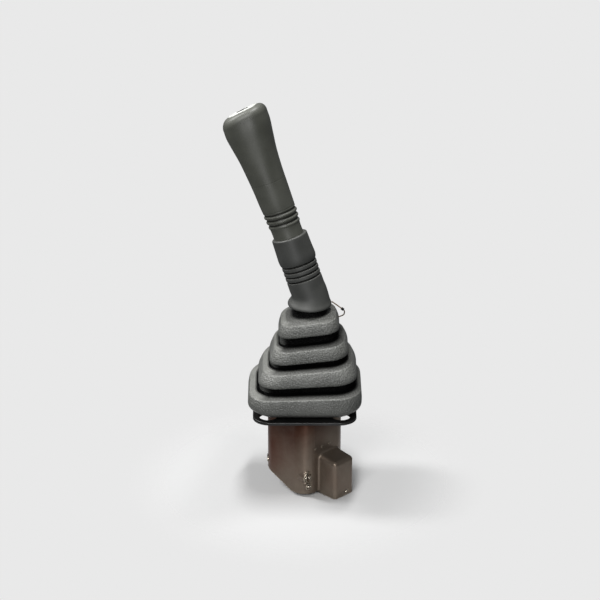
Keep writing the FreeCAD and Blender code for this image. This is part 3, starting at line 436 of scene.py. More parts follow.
def skin(name: str, rings: list[Ring], closed_loop: bool = False) -> Object:
    """Mesh through rings of equal point count.

    Args:
        name: Name of the new object.
        rings: Rings in order, each a closed loop of points.
        closed_loop: Join the last ring to the first; otherwise both ends get a fan of faces.

    Returns:
        Smooth-shaded object at the origin, with its normals outwards.
    """
    count = len(rings[0])
    mesh = bmesh.new()
    rows = [[mesh.verts.new(p) for p in ring] for ring in rings]
    pairs = list(zip(rows, rows[1:]))
    if closed_loop:
        pairs.append((rows[-1], rows[0]))
    for low, high in pairs:
        for i in range(count):
            j = (i + 1) % count
            mesh.faces.new((low[i], low[j], high[j], high[i]))
    if not closed_loop:
        for row, ring in ((rows[0], rings[0]), (rows[-1], rings[-1])):
            middle = mesh.verts.new(sum(ring, Vector()) / count)
            for i in range(count):
                mesh.faces.new((row[i], row[(i + 1) % count], middle))
    bmesh.ops.remove_doubles(mesh, verts=mesh.verts, dist=1e-7)
    bmesh.ops.recalc_face_normals(mesh, faces=mesh.faces)
    return new_object(name, kept(mesh, name))


def new_object(name: str, data: Mesh, smooth_deg: float = 40.0) -> Object:
    """Link a mesh as an object, smooth up to an angle.

    Args:
        name: Name of the object.
        data: Its mesh.
        smooth_deg: Edges sharper than this stay sharp.

    Returns:
        The object.
    """
    obj = linked(name, data)
    smooth(data, smooth_deg)
    return obj


def smooth(data: Mesh, angle_deg: float) -> None:
    """Shade a mesh smooth, but keep edges sharper than an angle."""
    data.shade_smooth()
    data.set_sharp_from_angle(angle=math.radians(angle_deg))


def merged_copy(node: str, smooth_deg: float) -> Object:
    """Copy a CAD node's mesh with its corners joined, so that its rounds shade smoothly.

    Args:
        node: CAD node, which the copy then stands for.
        smooth_deg: Edges sharper than this stay sharp.

    Returns:
        The copy, at the origin, standing for the node.
    """
    source = cad_object(node)
    data = source.data.copy()
    data.transform(source.matrix_world)
    data.materials.clear()
    mesh = bmesh.new()
    mesh.from_mesh(data)
    bmesh.ops.remove_doubles(mesh, verts=mesh.verts, dist=1e-6)
    mesh.to_mesh(data)
    mesh.free()
    obj = new_object(f"{node}_dressed", data, smooth_deg)
    # Large flat faces set the shading, so that only the rounds between them turn it.
    obj.data = modified(obj, "WEIGHTED_NORMAL", whole=True, keep_sharp=True, weight=100)
    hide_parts(node)
    return obj


def dress(obj: Object, material: Material, body: Body) -> Object:
    """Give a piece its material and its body.

    Args:
        obj: The piece.
        material: Its finish.
        body: Body that it rides.

    Returns:
        The same piece.
    """
    set_finish(obj, material)
    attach(obj, body.value)
    log.info("%s: %d faces on %s", obj.name, len(obj.data.polygons), body.value)
    return obj


def paint_recess_shade(obj: Object, rings: list[Ring], shade_depths: list[list[float]], other: float = 0.0) -> None:
    """Store the share of painted shade at each point, by how deep in a recess it lies, for the finish to read.

    Args:
        obj: Skin through the rings, before any cut.
        rings: Its rings.
        shade_depths: Share of painted shade at each point of each ring, by how deep in a recess it lies.
        other: Share at all other points.
    """
    known = {}
    for ring, row in zip(rings, shade_depths):
        for spot, depth in zip(ring, row):
            known[tuple(round(v, 6) for v in spot)] = depth
    recess = obj.data.attributes.new("recess", "FLOAT", "POINT")
    for vertex in obj.data.vertices:
        recess.data[vertex.index].value = known.get(tuple(round(v, 6) for v in vertex.co), other)


def between(rows: tuple[tuple[float, ...], ...], where: float) -> list[float]:
    """Smooth values between rows, by cubic pieces through them.

    Args:
        rows: Rows of a position followed by values, in rising order of position.
        where: Position asked for.

    Returns:
        The values at that position.
    """
    last = len(rows) - 1
    k = max(i for i in range(last) if rows[i][0] <= where or i == 0)
    low, high = rows[k], rows[k + 1]
    before, after = rows[max(k - 1, 0)], rows[min(k + 2, last)]
    gap = high[0] - low[0]
    t = ramp(where, low[0], gap)
    out = []
    for j in range(1, len(low)):
        into = (high[j] - before[j]) / (high[0] - before[0]) * gap
        outof = (after[j] - low[j]) / (after[0] - low[0]) * gap
        t2, t3 = t * t, t * t * t
        rise = into * (t3 - 2 * t2 + t) + high[j] * (3 * t2 - 2 * t3) + outof * (t3 - t2)
        out.append(low[j] * (2 * t3 - 3 * t2 + 1) + rise)
    return out


def rounded_line(corners: Rows) -> Rows:
    """Round the corners of a profile.

    Args:
        corners: Rows of out, up and any further values that follow along, then a rounding reach, 0 for a plain point.

    Returns:
        The profile's rows, without the reach, with a curve at each rounded corner.
    """
    line: Rows = []
    last, steps = len(corners) - 1, 4
    for i, (*here, reach) in enumerate(corners):
        if reach == 0 or i in (0, last):
            line.append(tuple(here))
            continue
        ends = []
        for other in (corners[i - 1], corners[i + 1]):
            gap = math.hypot(other[0] - here[0], other[1] - here[1])
            share = min(reach / gap, 0.48)
            ends.append([a + (b - a) * share for a, b in zip(here, other)])
        for k in range(steps + 1):
            t = k / steps
            trios = zip(ends[0], here, ends[1])
            line.append(tuple(a * (1 - t) ** 2 + m * 2 * t * (1 - t) + b * t * t for a, m, b in trios))
    return line


def spread(line: Rows, step: float) -> Rows:
    """Add rows on the long stretches of a profile so that none is longer than a step."""
    out = [line[0]]
    for low, high in zip(line, line[1:]):
        pieces = max(1, math.ceil(math.hypot(high[0] - low[0], high[1] - low[1]) / step))
        out += [tuple(a + (b - a) * k / pieces for a, b in zip(low, high)) for k in range(1, pieces + 1)]
    return out


def squircle(half_x: float, half_y: float, power: float, count: int = ROUND) -> Outline:
    """Points of an outline between an ellipse and a rectangle.

    Args:
        half_x: Half width.
        half_y: Half depth.
        power: 2 for an ellipse, more for squarer.
        count: Points in the outline.

    Returns:
        Points anticlockwise from +X.
    """
    spots = []
    for i in range(count):
        angle = 2 * math.pi * i / count
        c, s = math.cos(angle), math.sin(angle)
        reach = (abs(c) ** power + abs(s) ** power) ** (-1 / power)
        spots.append((half_x * reach * c, half_y * reach * s))
    return spots


def rounded_box(half_x: float, half_y: float, front: float, back: float) -> Outline:
    """Points of a rectangle with round corners, equal in number whatever its size.

    Args:
        half_x: Half width.
        half_y: Half depth.
        front: Radius of the two corners at the front.
        back: Radius of the two corners at the back.

    Returns:
        Points anticlockwise from the right side.
    """
    widest = 0.985 * min(half_x, half_y)
    front, back = min(front, widest), min(back, widest)
    corners = [(1, 1, back), (-1, 1, back), (-1, -1, front), (1, -1, front)]
    per_corner, per_side = 12, 8
    spots = []
    for quarter, (sx, sy, radius) in enumerate(corners):
        start = math.pi / 2 * quarter
        before = corners[quarter - 1][2]
        centre = Vector(((half_x - radius) * sx, (half_y - radius) * sy))
        side = 2 * (half_y if quarter % 2 == 0 else half_x) - radius - before
        way = Vector((-math.sin(start), math.cos(start)))
        foot = centre + Vector((math.cos(start), math.sin(start))) * radius
        spots += [foot - way * side * (1 - k / per_side) for k in range(per_side)]
        for k in range(per_corner):
            angle = start + math.pi / 2 * k / per_corner
            spots.append(centre + Vector((math.cos(angle), math.sin(angle))) * radius)
    return [(p.x, p.y) for p in spots]


# Geometry nodes for what repeats


def ridge_tree(radius: float, height: float) -> NodeTree:
    """Geometry nodes that stand a thread ridge, a round section swept round a circle, on each point.

    Args:
        radius: Radius of the circle.
        height: Radius of the section.

    Returns:
        The tree, which turns each ridge along its point's attribute way.
    """
    tree = bpy.data.node_groups.new("thread ridges", "GeometryNodeTree")
    for side in ("INPUT", "OUTPUT"):
        tree.interface.new_socket("Geometry", in_out=side, socket_type="NodeSocketGeometry")
    points = add(tree, "NodeGroupInput").outputs["Geometry"]
    loop = add(tree, "GeometryNodeCurvePrimitiveCircle", {"Resolution": 40, "Radius": radius}).outputs[0]
    section = add(tree, "GeometryNodeCurvePrimitiveCircle", {"Resolution": 6, "Radius": height}).outputs[0]
    ridge = add(tree, "GeometryNodeCurveToMesh", {"Curve": loop, "Profile Curve": section}).outputs[0]
    way = add(tree, "GeometryNodeInputNamedAttribute", {"Name": "way"}, data_type="FLOAT_VECTOR")
    turn = add(tree, "FunctionNodeAlignRotationToVector", {"Vector": way.outputs["Attribute"]}, axis="Z")
    sockets = {"Points": points, "Instance": ridge, "Rotation": turn.outputs[0]}
    stood = add(tree, "GeometryNodeInstanceOnPoints", sockets)
    real = add(tree, "GeometryNodeRealizeInstances", {"Geometry": stood.outputs[0]})
    add(tree, "NodeGroupOutput", {0: real.outputs[0]})
    return tree


def grow(name: str, spots: list[tuple[Vector, Vector]], tree: NodeTree) -> Object:
    """Run geometry nodes on loose points and keep the result as a plain mesh.

    Args:
        name: Name of the pieces.
        spots: Pairs of a place and an outward direction, which the nodes read as the attribute way.
        tree: The geometry nodes.

    Returns:
        A plain mesh object at the origin.
    """
    mesh = bpy.data.meshes.new(name)
    mesh.from_pydata([spot for spot, _ in spots], [], [])
    ways = mesh.attributes.new("way", "FLOAT_VECTOR", "POINT")
    for point, (_, way) in zip(ways.data, spots):
        point.vector = way
    carrier = linked(f"{name}_carrier", mesh)
    data = modified(carrier, "NODES", node_group=tree)
    bpy.data.objects.remove(carrier)
    return new_object(name, data, 35.0)


@dataclass
class Lever:
    """The lever's leaning line, which sleeve, grip and cap share."""

    neck: Vector = field(default_factory=lambda: Vector((5, 0, 112)) * MM)
    bend: float = 13 * MM
    lean: float = math.radians(18)
    sleeve: float = 82 * MM
    grip: float = 143 * MM
    sweep: float = 3.3 * MM
    across: float = math.radians(9)
    back: float = math.radians(14)
    # The grooves, rings and shoulder are moulded a little higher at the front than at the back.
    fall: float = math.tan(math.radians(8))

    @property
    def turn(self) -> Matrix:
        """Rotation from upright to the lever's lean."""
        return Matrix.Rotation(-self.lean, 4, "Y")

    def place(self, along: float) -> Matrix:
        """Frame on the leaning axis, at a distance above the neck."""
        foot = self.neck + Vector((0, 0, self.bend))
        return Matrix.Translation(foot + self.turn @ Vector((0, 0, along - self.bend))) @ self.turn

    def top(self) -> Matrix:
        """Frame on the grip's sloping top."""
        tilt = Matrix.Rotation(-self.across, 4, "Y") @ Matrix.Rotation(-self.back, 4, "X")
        return self.place(self.sleeve + self.grip) @ Matrix.Translation((-self.sweep * 0.8, 0, 0)) @ tilt


@dataclass
class Bellows:
    """Stepped rubber bellows: four folds, each a skirt hanging from a crisp ridge over a dark recess.

    The recesses are deep at the front and back and shallow at the sides. Rows are half depth, height, half width,
    share of the lever's sideways crank, how much painted shade the surface gets (full deep in a recess, part on
    the top face under the fold above), and the rounding reach.
    """

    shift: float = 5.0
    tilt: float = 0.125
    wall: float = 2.2
    neck: float = 112.0
    lower: tuple = (
        (36.0, 3.0, 36.0, 0.0, 1.0, 0), (50.0, 7.0, 51.0, 0.0, 0.9, 2.4), (57.2, 13.5, 59.0, 0.0, 0.2, 5.5),
        (57.6, 21.0, 59.4, 0.03, 0.15, 6.0), (56.6, 29.4, 58.2, 0.1, 0.0, 1.3), (55.4, 29.9, 57.4, 0.15, 0.5, 0),
        (51.4, 31.2, 54.6, 0.29, 0.7, 0), (49.0, 31.7, 53.0, 0.34, 0.95, 1.0), (38.0, 30.6, 49.4, 0.45, 1.0, 1.2),
        (38.0, 38.8, 49.4, 0.5, 1.0, 1.0), (49.2, 40.3, 51.1, 0.56, 0.2, 2.0), (49.8, 44.5, 51.3, 0.57, 0.0, 4.0),
        (49.0, 50.5, 49.0, 0.56, 0.0, 5.0), (46.9, 55.4, 46.3, 0.54, 0.0, 1.3), (45.7, 55.9, 45.7, 0.56, 0.5, 0),
        (41.8, 57.3, 43.0, 0.62, 0.7, 0), (39.6, 57.8, 41.8, 0.65, 0.95, 1.0), (30.0, 57.0, 39.4, 0.68, 1.0, 0.8),
        (29.5, 61.8, 39.4, 0.68, 1.0, 0),
    )
    upper: tuple = (
        (29.5, 61.8, 39.4, 0.68, 1.0, 0), (31.0, 62.9, 39.4, 0.75, 1.0, 0.8), (39.9, 63.9, 40.8, 0.83, 0.2, 2.0),
        (40.4, 67.5, 40.8, 0.84, 0.0, 4.0), (39.8, 72.5, 39.0, 0.84, 0.0, 5.0), (38.2, 77.6, 36.4, 0.84, 0.0, 1.3),
        (37.0, 78.1, 35.9, 0.84, 0.65, 0), (33.2, 79.5, 33.8, 0.79, 0.85, 0), (31.0, 80.0, 32.6, 0.75, 0.95, 1.0),
        (22.0, 79.2, 29.8, 0.73, 1.0, 1.0), (22.0, 88.6, 29.8, 0.78, 1.0, 1.0), (31.3, 90.0, 31.7, 0.84, 0.2, 1.8),
        (31.5, 93.5, 31.5, 0.83, 0.1, 3.0), (30.9, 98.0, 30.2, 0.78, 0.06, 4.0), (29.4, 102.7, 28.5, 0.73, 0.0, 1.2),
        (28.2, 103.2, 27.4, 0.76, 0.4, 0), (20.6, 105.6, 20.6, 0.92, 0.55, 0), (17.6, 106.2, 17.6, 1.0, 1.0, 0.6),
        (16.6, 112.0, 16.6, 1.0, 1.0, 0), (16.3, 119.0, 16.3, 1.0, 1.0, 0),
    )

    def ring(self, row: tuple[float, ...], wall: float) -> Ring:
        """Outline at one height, round at the neck and the back and sloping more towards the neck."""
        front, up, side, share, _ = row
        roundness = 0.42 + 0.1 * up / 105 + 0.4 * ramp(up, 104, 6)
        behind = max(roundness, 0.42 + 0.4 * ramp(up, 9, 12))
        narrow = min(front, side)
        slope = self.tilt * ramp(up, 12, 60) * ramp(self.neck, up, 8)
        less = wall * 0.5
        outline = rounded_box(side - wall, front - wall, narrow * roundness - less, narrow * behind - less)
        return [Vector((x + self.shift * share, y, up + x * slope)) * MM for x, y in outline]

    def shell(self, name: str, corners: tuple) -> Object:
        """Closed shell from a profile, outside up and inside down, with painted shade marked in its recesses."""
        line = spread(rounded_line(list(corners)), 1.8)
        rings = [self.ring(row, 0.0) for row in line] + [self.ring(row, self.wall) for row in reversed(line)]
        obj = skin(name, rings, closed_loop=True)
        shade_depths = []
        for ring, row in zip(rings, line):
            shade_depths.append([])
            for spot in ring:
                # Painted shade fades out on the open left side of the wide folds and stays on the right side.
                aside = (self.shift * row[3] - spot.x / MM) / row[2]
                open_side = ramp(aside, 0.76, 0.16) if row[2] > 24 else 0.0
                shade_depths[-1].append(row[4] * (1 - open_side * (1.0 if row[4] < 0.9 else 0.4)))
        paint_recess_shade(obj, rings, shade_depths, 1.0)
        return obj

    def build(self, finishes: Finishes) -> None:
        """Make both halves, in place of the CAD halves."""
        halves = (
            ("bellows_lower", self.lower, Body.BASE, Body.CROSS, 6, 52),
            ("bellows_upper", self.upper, Body.CROSS, Body.LEVER, 67.5, 90),
        )
        for node, corners, held, moved, start, end in halves:
            obj = self.shell(f"{node}_rubber", corners)
            set_finish(obj, finishes.bellows)
            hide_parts(node)
            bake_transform(obj)
            log.info("%s: %d faces", obj.name, len(obj.data.polygons))


@dataclass
class Sleeve:
    """Rubber sleeve over the lever's bend: level flared lip, four grooves and a square shoulder."""

    lever: Lever
    radius: float = 18.9
    lip: float = 22.6
    pitch: float = 5.7
    # Stretch with the grooves, below the shoulder.
    grooved: tuple = (-52.0, -28.0)

    def frame_at(self, along: float) -> Matrix:
        """Frame on the bent spine: upright at the lip, then turning over to the lean."""
        t = ramp(along, 4.0, 20.0)
        t = t * t * (3 - 2 * t)
        leaning = self.lever.place(along * MM)
        upright = Matrix.Translation(self.lever.neck + Vector((0, 0, along * MM)))
        place = upright.translation.lerp(leaning.translation, t)
        return Matrix.Translation(place) @ Matrix.Rotation(-self.lever.lean * t, 4, "Y")

    def profile(self) -> Outline:
        """Radius and distance along, from inside the lip, over it and up to the shoulder."""
        top, r = self.lever.sleeve / MM, self.radius
        corners = [(self.lip - 3.0, 6.0, 0), (self.lip - 3.0, 2.4, 0.8), (self.lip + 0.1, 2.0, 0.7),
                   (self.lip + 0.1, 4.0, 1.4), (r + 1.6, 8.0, 3.0), (r - 0.1, 14.0, 4.0), (r - 0.4, 22.0, 3.0)]
        for i in range(4):
            z = top - 50.3 + i * self.pitch
            corners += [(r - 0.5, z + 0.4, 0.6), (r - 2.0, z + 0.9, 0.4), (r - 2.0, z + 2.1, 0.4),
                        (r - 0.5, z + 2.6, 0.6)]
        corners += [(r + 0.1, top - 29.0, 1.5), (r + 0.6, top - 25.0, 4.0), (r + 0.2, top - 14.0, 6.0),
                    (r - 0.2, top - 0.9, 0.9), (r - 1.4, top, 0.7), (15.2, top - 0.1, 0.3), (14.6, top - 3.0, 0)]
        return spread(rounded_line(corners), 1.6)

    def build(self, finishes: Finishes) -> None:
        """Make the sleeve."""
        rings, shade_depths = [], []
        for out, along in self.profile():
            grooved = self.grooved[0] < along - self.lever.sleeve / MM < self.grooved[1]
            # Painted shade in the grooves.
            shade_depths.append([0.85 * ramp(self.radius - 0.7, out, 1.2) * grooved] * ROUND)
            place = self.frame_at(along)
            # A slight bulge on the right, half way up.
            right = 1 + 0.02 * max(0.0, 1 - abs(along - 55) / 10)
            fall = self.lever.fall * ramp(along, 14, 14)
            rings.append([place @ (Vector((x * (right if x > 0 else 1.0), y, -y * fall)) * MM)
                          for x, y in squircle(out, out, 2.0)])
        obj = skin("sleeve_rubber_skin", rings)
        paint_recess_shade(obj, rings, shade_depths)
        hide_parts("sleeve")
        dress(obj, finishes.sleeve, Body.LEVER)


@dataclass
class Grip:
    """Moulded hand grip with three rings at its foot, faint mould lines and a cap in its sloping top."""

    lever: Lever
    neck: float = 15.6
    head: float = 24.2
    depth: float = 22.3
    first_ring: float = 14.2
    ring_pitch: float = 5.9
    # Distance along and depth of the faint lines where the mould parts.
    mould_lines: tuple = ((32.0, 0.2), (64.0, 0.12))
    shoulder: float = 132.5
    top: float = 143.0
    edge: float = 8.2
    cap: tuple = (15.0, 14.0)
    cap_gap: float = 0.12
    rows: tuple = (
        # distance along, half width, half depth, sweep share, squareness, slope share
        (0.0, 0.0, 0.0, 0.1, 2.0, 0.0), (9.0, 0.0, 0.0, 0.18, 2.0, 0.0), (28.0, 1.2, 1.3, 0.25, 2.0, 0.0),
        (40.0, 1.8, 2.4, 0.38, 2.0, 0.05), (57.0, 2.3, 3.2, 0.5, 2.1, 0.1), (74.0, 3.1, 3.9, 0.7, 2.1, 0.2),
        (93.0, 4.5, 4.8, 0.85, 2.2, 0.35), (109.0, 6.7, 5.8, 0.95, 2.3, 0.6), (123.0, 8.5, 6.7, 1.0, 2.5, 0.85),
        (132.5, 8.5, 6.6, 1.0, 2.6, 1.0),
    )

    def ring(
        self, along: float, grow: float, half_x: float, half_y: float, sweep: float, power: float, slope: float
    ) -> Ring:
        """Outline at one distance along the grip."""
        place = self.lever.place(self.lever.sleeve)
        across, back = math.tan(self.lever.across) * slope, max(self.lever.fall, math.tan(self.lever.back) * slope)
        spots = []
        for x, y in squircle(half_x + grow, half_y + grow, power):
            spot = Vector((x - self.lever.sweep / MM * sweep, y, along + x * across - y * back)) * MM
            spots.append(place @ spot)
        return spots

    def swell(self, along: float) -> float:
        """Stand-out of the three rings and of the faint mould lines at a distance along."""
        out = 0.0
        for i in range(3):
            off = (along - (self.first_ring + i * self.ring_pitch)) / 1.5
            out += (0.7 + 0.05 * i) * max(0.0, 1 - off * off) ** 0.7
            valley = (along - (self.first_ring + (i + 0.5) * self.ring_pitch)) / 1.4
            out -= 0.6 * max(0.0, 1 - valley * valley)
        for line, deep in self.mould_lines:
            out -= deep * max(0.0, 1 - abs(along - line) / 0.6)
        return out

    def shaft(self) -> Object:
        """Grip body up to the edge of its flat top."""
        # Close rows over the rings and the upper mould line, wider ones between.
        stops = [k * 0.35 for k in range(100)] + [35.2 + k * 1.3 for k in range(22)]
        stops += [63.8 + k * 0.3 for k in range(-4, 5)] + [65.8 + k * 1.3 for k in range(52)]
        rings, shade_depths = [self.ring(0, 0, self.neck, self.neck, 0.1, 2.0, 0.0)], [[0.0] * ROUND]
        for along in stops:
            # Painted shade in the valleys between the rings and in the mould lines.
            shade_depths.append([min(0.85, max(0.0, -1.4 * self.swell(along)))] * ROUND)
            wide, deep, sweep, power, slope = between(self.rows, min(along, self.shoulder))
            rings.append(self.ring(along, self.swell(along), self.neck + wide, self.neck + deep, sweep, power, slope))
        steps = 14
        for k in range(1, steps + 1):
            angle = math.pi / 2 * k / steps
            along = self.shoulder + (self.top - self.shoulder) * math.sin(angle)
            rings.append(self.ring(along, -self.edge * (1 - math.cos(angle)), self.head, self.depth,
                                   1.0 - 0.2 * k / steps, 2.6 - 0.15 * k / steps, 1.0))
        obj = skin("grip_moulding", rings)
        paint_recess_shade(obj, rings, shade_depths)
        return obj

    def build(self, finishes: Finishes) -> None:
        """Make the shaft, its cap and the button."""
        shaft = self.shaft()
        self.sink_seat(shaft)
        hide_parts("grip")
        dress(shaft, finishes.grip, Body.LEVER)
        cap = self.plate("grip_cap_moulding", *self.cap, 7.3, 0.85)
        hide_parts("grip_cap")
        dress(cap, finishes.cap, Body.LEVER)
        button = merged_copy("push_button", 35.0)
        dress(button, finishes.button, Body.BUTTON)

    def sink_seat(self, shaft: Object) -> None:
        """Cut the cap's seat and the button's well into the shaft."""
        half_x, half_y = self.cap
        cutter = self.plate("seat_cutter", half_x + self.cap_gap, half_y + self.cap_gap, 0.0, 6.0)
        well = bmesh.new()
        bmesh.ops.create_cone(well, cap_ends=True, segments=64, radius1=8 * MM, radius2=8 * MM, depth=22 * MM,
                              matrix=self.lever.top() @ Matrix.Translation((0, 0, -5 * MM)))
        for other in (cutter, new_object("well_cutter", kept(well, "well_cutter"))):
            shaft.data = modified(shaft, "BOOLEAN", operation="DIFFERENCE", solver="EXACT", object=other)
            smooth(shaft.data, 40.0)
            bpy.data.objects.remove(other)

    def plate(self, name: str, half_x: float, half_y: float, hole: float, rise: float) -> Object:
        """Rounded plate on the grip's top; with a hole it has a rounded rim too."""
        place, foot = self.lever.top(), -3.0
        rim = [(0.0, rise - 0.05, 0.6), (1.4, rise, 0)] if hole else [(0.0, rise, 0)]
        line = rounded_line([(0.0, foot, 0)] + rim)
        rings = [level(place, up, squircle(half_x - inset, half_y - inset, 4.2)) for inset, up in line]
        if not hole:
            return skin(name, rings)
        bore = ((hole + 0.5, rise), (hole, rise - 0.4), (hole, foot))
        rings += [level(place, up, squircle(radius, radius, 2.0)) for radius, up in bore]
        return skin(name, rings, closed_loop=True)


@dataclass
class Valve:
    """Cast valve body with its plate, plugs, screws and port threads."""

    thread_pitch: float = 1.337
    port_radius: float = 5.9
    port_depth: float = 13.0
    # The slanted port is cut short, clear of the left spool.
    slanted_depth: float = 9.0

    def build(self, finishes: Finishes) -> None:
        """Dress the casting and what is screwed to it."""
        dress(merged_copy("valve_body", 28.0), finishes.casting, Body.BASE)
        for node, finish, slot in (
            ("mounting_plate", finishes.plate, "black_plate"),
            ("closing_plugs", finishes.plug, "plug_steel"),
            ("boot_frame", finishes.plate, "black_plate"),
            ("plate_screws", finishes.zinc, "plated_screws"),
        ):
            dress(merged_copy(node, 30.0), finish, Body.BASE)
        self.threads(finishes)

    def threads(self, finishes: Finishes) -> None:
        """Cut-thread ridges in every port, as rings one pitch apart."""
        down, slanted = Vector((0, 0, -1)), Vector((-15, 0, -26)).normalized()
        # Distance from the axis to the body's rounded corner, from its half width and corner radius.
        corner = 32 * math.sqrt(2) - 16 * (math.sqrt(2) - 1)
        box = math.sqrt(0.5)
        # Mouths and outward directions: four under the body, one slanted, one under the port box.
        mouths = (
            ((24, 0, -89), down), ((0, 24, -89), down), ((0, -24, -89), down), ((0, 0, -89), down),
            ((-corner + 13, 0, -81.5), slanted), ((box * 47.6, -box * 40.4, -91), down),
        )
        spots = []
        for mouth, way in mouths:
            depth = self.slanted_depth if way is slanted else self.port_depth
            for k in range(int(depth / self.thread_pitch)):
                spots.append(((Vector(mouth) - way * (0.9 + k * self.thread_pitch)) * MM, way))
        ridges = grow("port_threads", spots, ridge_tree((self.port_radius - 0.12) * MM, 0.4 * MM))
        dress(ridges, finishes.casting, Body.BASE)


@dataclass
class Mechanism:
    """Joint, swash disc and the four cylinders inside."""

    # How far along the metering spring's blend its foot lies, because it goes down with the spool.
    spool_share: float = 0.326

    def build(self, finishes: Finishes) -> None:
        """Dress the inner pieces."""
        painted = (
            (finishes.machined, ("lower_yoke", "joint_cross", "upper_yoke", "swash_disc"), ("bush", "spring_seat")),
            (finishes.zinc, ("adjusting_nut",), ()),
            (finishes.oxide, ("lever_rod",), ()),
            (finishes.button, ("switch_capsule",), ()),
            (finishes.seal, (), ("rod_seal", "bush_ring")),
            (finishes.ground, (), ("push_rod", "spool")),
        )
        for material, singles, fours in painted:
            for node in (*singles, *(f"{piece}_{station.value}" for piece in fours for station in Station)):
                set_finish(cad_object(node), material)
                log.info("%s: %s", node, material.name)
        for station in Station:
            self.spring("return_spring", station, 0.0, finishes)
            self.spring("metering_spring", station, self.spool_share, finishes)

    def spring(self, name: str, station: Station, led: float, finishes: Finishes) -> None:
        """Coil spring, copied smooth from its CAD node.

        Args:
            name: Kind of spring.
            station: Cylinder that it stands in.
            led: Not used. How far along the blend its foot would lie: 0 on the body, more where the foot goes with
                the spool.
            finishes: The finishes.
        """
        obj = merged_copy(f"{name}_{station.value}", 40.0)
        set_finish(obj, finishes.spring)
        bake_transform(obj)


@dataclass
class Lead:
    """Thin lead from the sleeve's lip to the side of the top fold, with a black splice on the way."""

    diameter: float = 1.3
    route: tuple = (
        (27.9, 0, 116.55), (31.0, 0, 114.4), (37.4, 0, 109.4), (41.3, 0.6, 106.2), (41.3, 2.8, 102.0),
        (40.2, 5.2, 98.6), (35.84, 7.2, 96.2),
    )

    def build(self, finishes: Finishes) -> None:
        """Make the lead as a curve and its splice as a small spindle."""
        points = [Vector(p) * MM for p in self.route]
        curve = bpy.data.curves.new("lead_wire", "CURVE")
        curve.dimensions = "3D"
        curve.bevel_depth = self.diameter / 2 * MM
        curve.bevel_resolution = 4
        curve.resolution_u = 12
        curve.use_fill_caps = True
        spline = curve.splines.new("NURBS")
        spline.points.add(len(points) - 1)
        for point, spot in zip(spline.points, points):
            point.co = (*spot, 1.0)
        spline.order_u = 3
        spline.use_endpoint_u = True
        wire = linked("lead_wire", curve)
        set_finish(wire, finishes.lead)
        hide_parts("lead")
        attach(wire, Body.LEVER.value)
        splice = dress(self.splice(points), finishes.shrink, Body.LEVER)

    def splice(self, points: list[Vector]) -> Object:
        """Heat-shrunk splice just before the lead's corner."""
        way = (points[3] - points[2]).normalized()
        turn = way.to_track_quat("Z", "Y").to_matrix().to_4x4()
        place = Matrix.Translation(points[2] + way * 2.3 * MM) @ turn
        line = rounded_line([(0.75, -1.6, 0), (1.5, -1.3, 0.3), (1.5, 1.3, 0.3), (0.75, 1.6, 0)])
        return skin("lead_splice", [level(place, along, squircle(out, out, 2.0, 24)) for out, along in line])


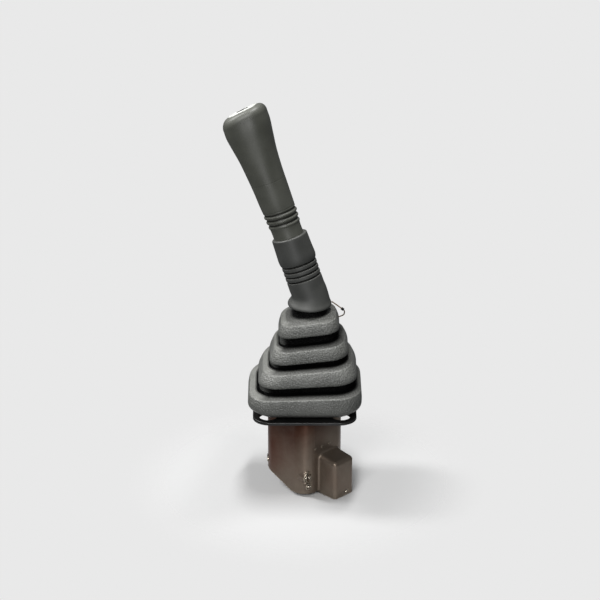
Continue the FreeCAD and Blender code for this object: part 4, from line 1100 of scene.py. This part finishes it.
@dataclass
class Studio:
    """Pale floor, soft lamps and the camera."""

    azimuth: float = 0.0
    elevation: float = 22.9
    distance: float = 2.515
    focal_px: float = 2442.0
    target: tuple = (-19.9, 0.0, 159.9)
    offset_px: tuple = (-14.4, -37.0)
    image_px: float = 600.0
    sensor_mm: float = 36.0
    floor_level: float = -91.3
    floor_glow: float = 0.01

    def camera(self) -> None:
        """Camera at the photograph's viewing angle."""
        data = bpy.data.cameras.new("camera")
        data.sensor_width = self.sensor_mm
        data.lens = self.focal_px / self.image_px * self.sensor_mm
        data.clip_end = 20.0
        data.shift_x = -self.offset_px[0] / self.image_px
        data.shift_y = self.offset_px[1] / self.image_px
        obj = linked("camera", data)
        az, el = math.radians(self.azimuth), math.radians(self.elevation)
        away = Vector((math.sin(az) * math.cos(el), -math.cos(az) * math.cos(el), math.sin(el)))
        obj.location = Vector(self.target) * MM + away * self.distance
        obj.rotation_euler = (-away).to_track_quat("-Z", "Y").to_euler()
        bpy.context.scene.camera = obj

    def backdrop(self) -> None:
        """Pale world behind everything, softer for the light that reaches the object."""
        world = bpy.data.worlds.new("studio")
        bpy.context.scene.world = world
        tree = empty_tree(world)
        rays = add(tree, "ShaderNodeLightPath")
        seen = add(tree, "ShaderNodeMath", {0: rays.outputs["Is Camera Ray"], 1: rays.outputs["Is Transmission Ray"]},
                   operation="MAXIMUM")
        room = add(tree, "ShaderNodeBackground", {"Color": (0.95, 0.98, 1.0, 1.0), "Strength": 0.12})
        paper = add(tree, "ShaderNodeBackground", {"Color": linear("#E9E9E9")})
        mixed = add(tree, "ShaderNodeMixShader", {0: seen.outputs[0], 1: room.outputs[0], 2: paper.outputs[0]})
        add(tree, "ShaderNodeOutputWorld", {"Surface": mixed.outputs[0]})

    def floor(self) -> None:
        """Round paper sheet under the object that fades into the backdrop."""
        mesh = bmesh.new()
        bmesh.ops.create_circle(mesh, cap_ends=True, segments=96, radius=0.9)
        data = kept(mesh, "floor")
        data.transform(Matrix.Translation((0, 0, self.floor_level * MM)))
        obj = linked("floor", data)
        material = bpy.data.materials.new("paper sheet")
        tree = empty_tree(material)
        place = add(tree, "ShaderNodeTexCoord").outputs["Object"]
        middle = (0.0, 0.0, self.floor_level * MM)
        spot = add(tree, "ShaderNodeVectorMath", {0: place, 1: middle}, operation="DISTANCE")
        fade = add(tree, "ShaderNodeMapRange", {"Value": spot.outputs["Value"], "From Min": 0.09, "From Max": 0.2},
                   interpolation_type="SMOOTHSTEP")
        seen = add(tree, "ShaderNodeLightPath").outputs["Is Camera Ray"]
        glow = add(tree, "ShaderNodeMath", {0: seen, 1: self.floor_glow}, operation="MULTIPLY")
        matt = add(tree, "ShaderNodeBsdfDiffuse", {"Color": linear("#B5B5B5")})
        glowing = add(tree, "ShaderNodeEmission", {"Strength": glow.outputs[0]})
        sheet = add(tree, "ShaderNodeAddShader", {0: matt.outputs[0], 1: glowing.outputs[0]})
        clear = add(tree, "ShaderNodeBsdfTransparent")
        mixed = add(tree, "ShaderNodeMixShader", {0: fade.outputs[0], 1: sheet.outputs[0], 2: clear.outputs[0]})
        add(tree, "ShaderNodeOutputMaterial", {"Surface": mixed.outputs[0]})
        data.materials.append(material)

    def lamp(self, name: str, place: tuple, aim: tuple, size: tuple, watts: float) -> None:
        """Soft box at a place, turned to its aim."""
        data = bpy.data.lights.new(name, "AREA")
        data.shape = "RECTANGLE"
        data.size, data.size_y = size
        data.energy = watts
        obj = linked(name, data)
        obj.location = place
        obj.rotation_euler = (Vector(aim) - Vector(place)).to_track_quat("-Z", "Y").to_euler()

    def build(self) -> None:
        """Set up the whole studio."""
        bpy.context.scene.view_settings.view_transform = "Standard"
        self.camera()
        self.backdrop()
        self.floor()
        self.lamp("overhead box", (0.18, -0.05, 3.0), (0, 0, 0.1), (1.7, 0.25), 88)
        self.lamp("front box", (-0.85, -2.3, 1.7), (0, 0, 0.05), (1.2, 0.9), 50)
        self.lamp("left box", (-1.9, 0.5, 1.9), (0, 0, 0.1), (0.5, 1.0), 62)
        self.lamp("low strip", (0.1, -1.6, -0.02), (0, 0, -0.05), (0.28, 0.1), 7)


def main() -> None:
    """Build the studio, then each sub-assembly in order."""
    logging.basicConfig(level=logging.INFO, format="%(message)s")
    Studio().build()
    finishes = Finishes()
    lever = Lever()
    Lead().build(finishes)
    Bellows().build(finishes)
    Sleeve(lever).build(finishes)
    Grip(lever).build(finishes)
    Valve().build(finishes)
    Mechanism().build(finishes)


if __name__ == "__main__":
    main()
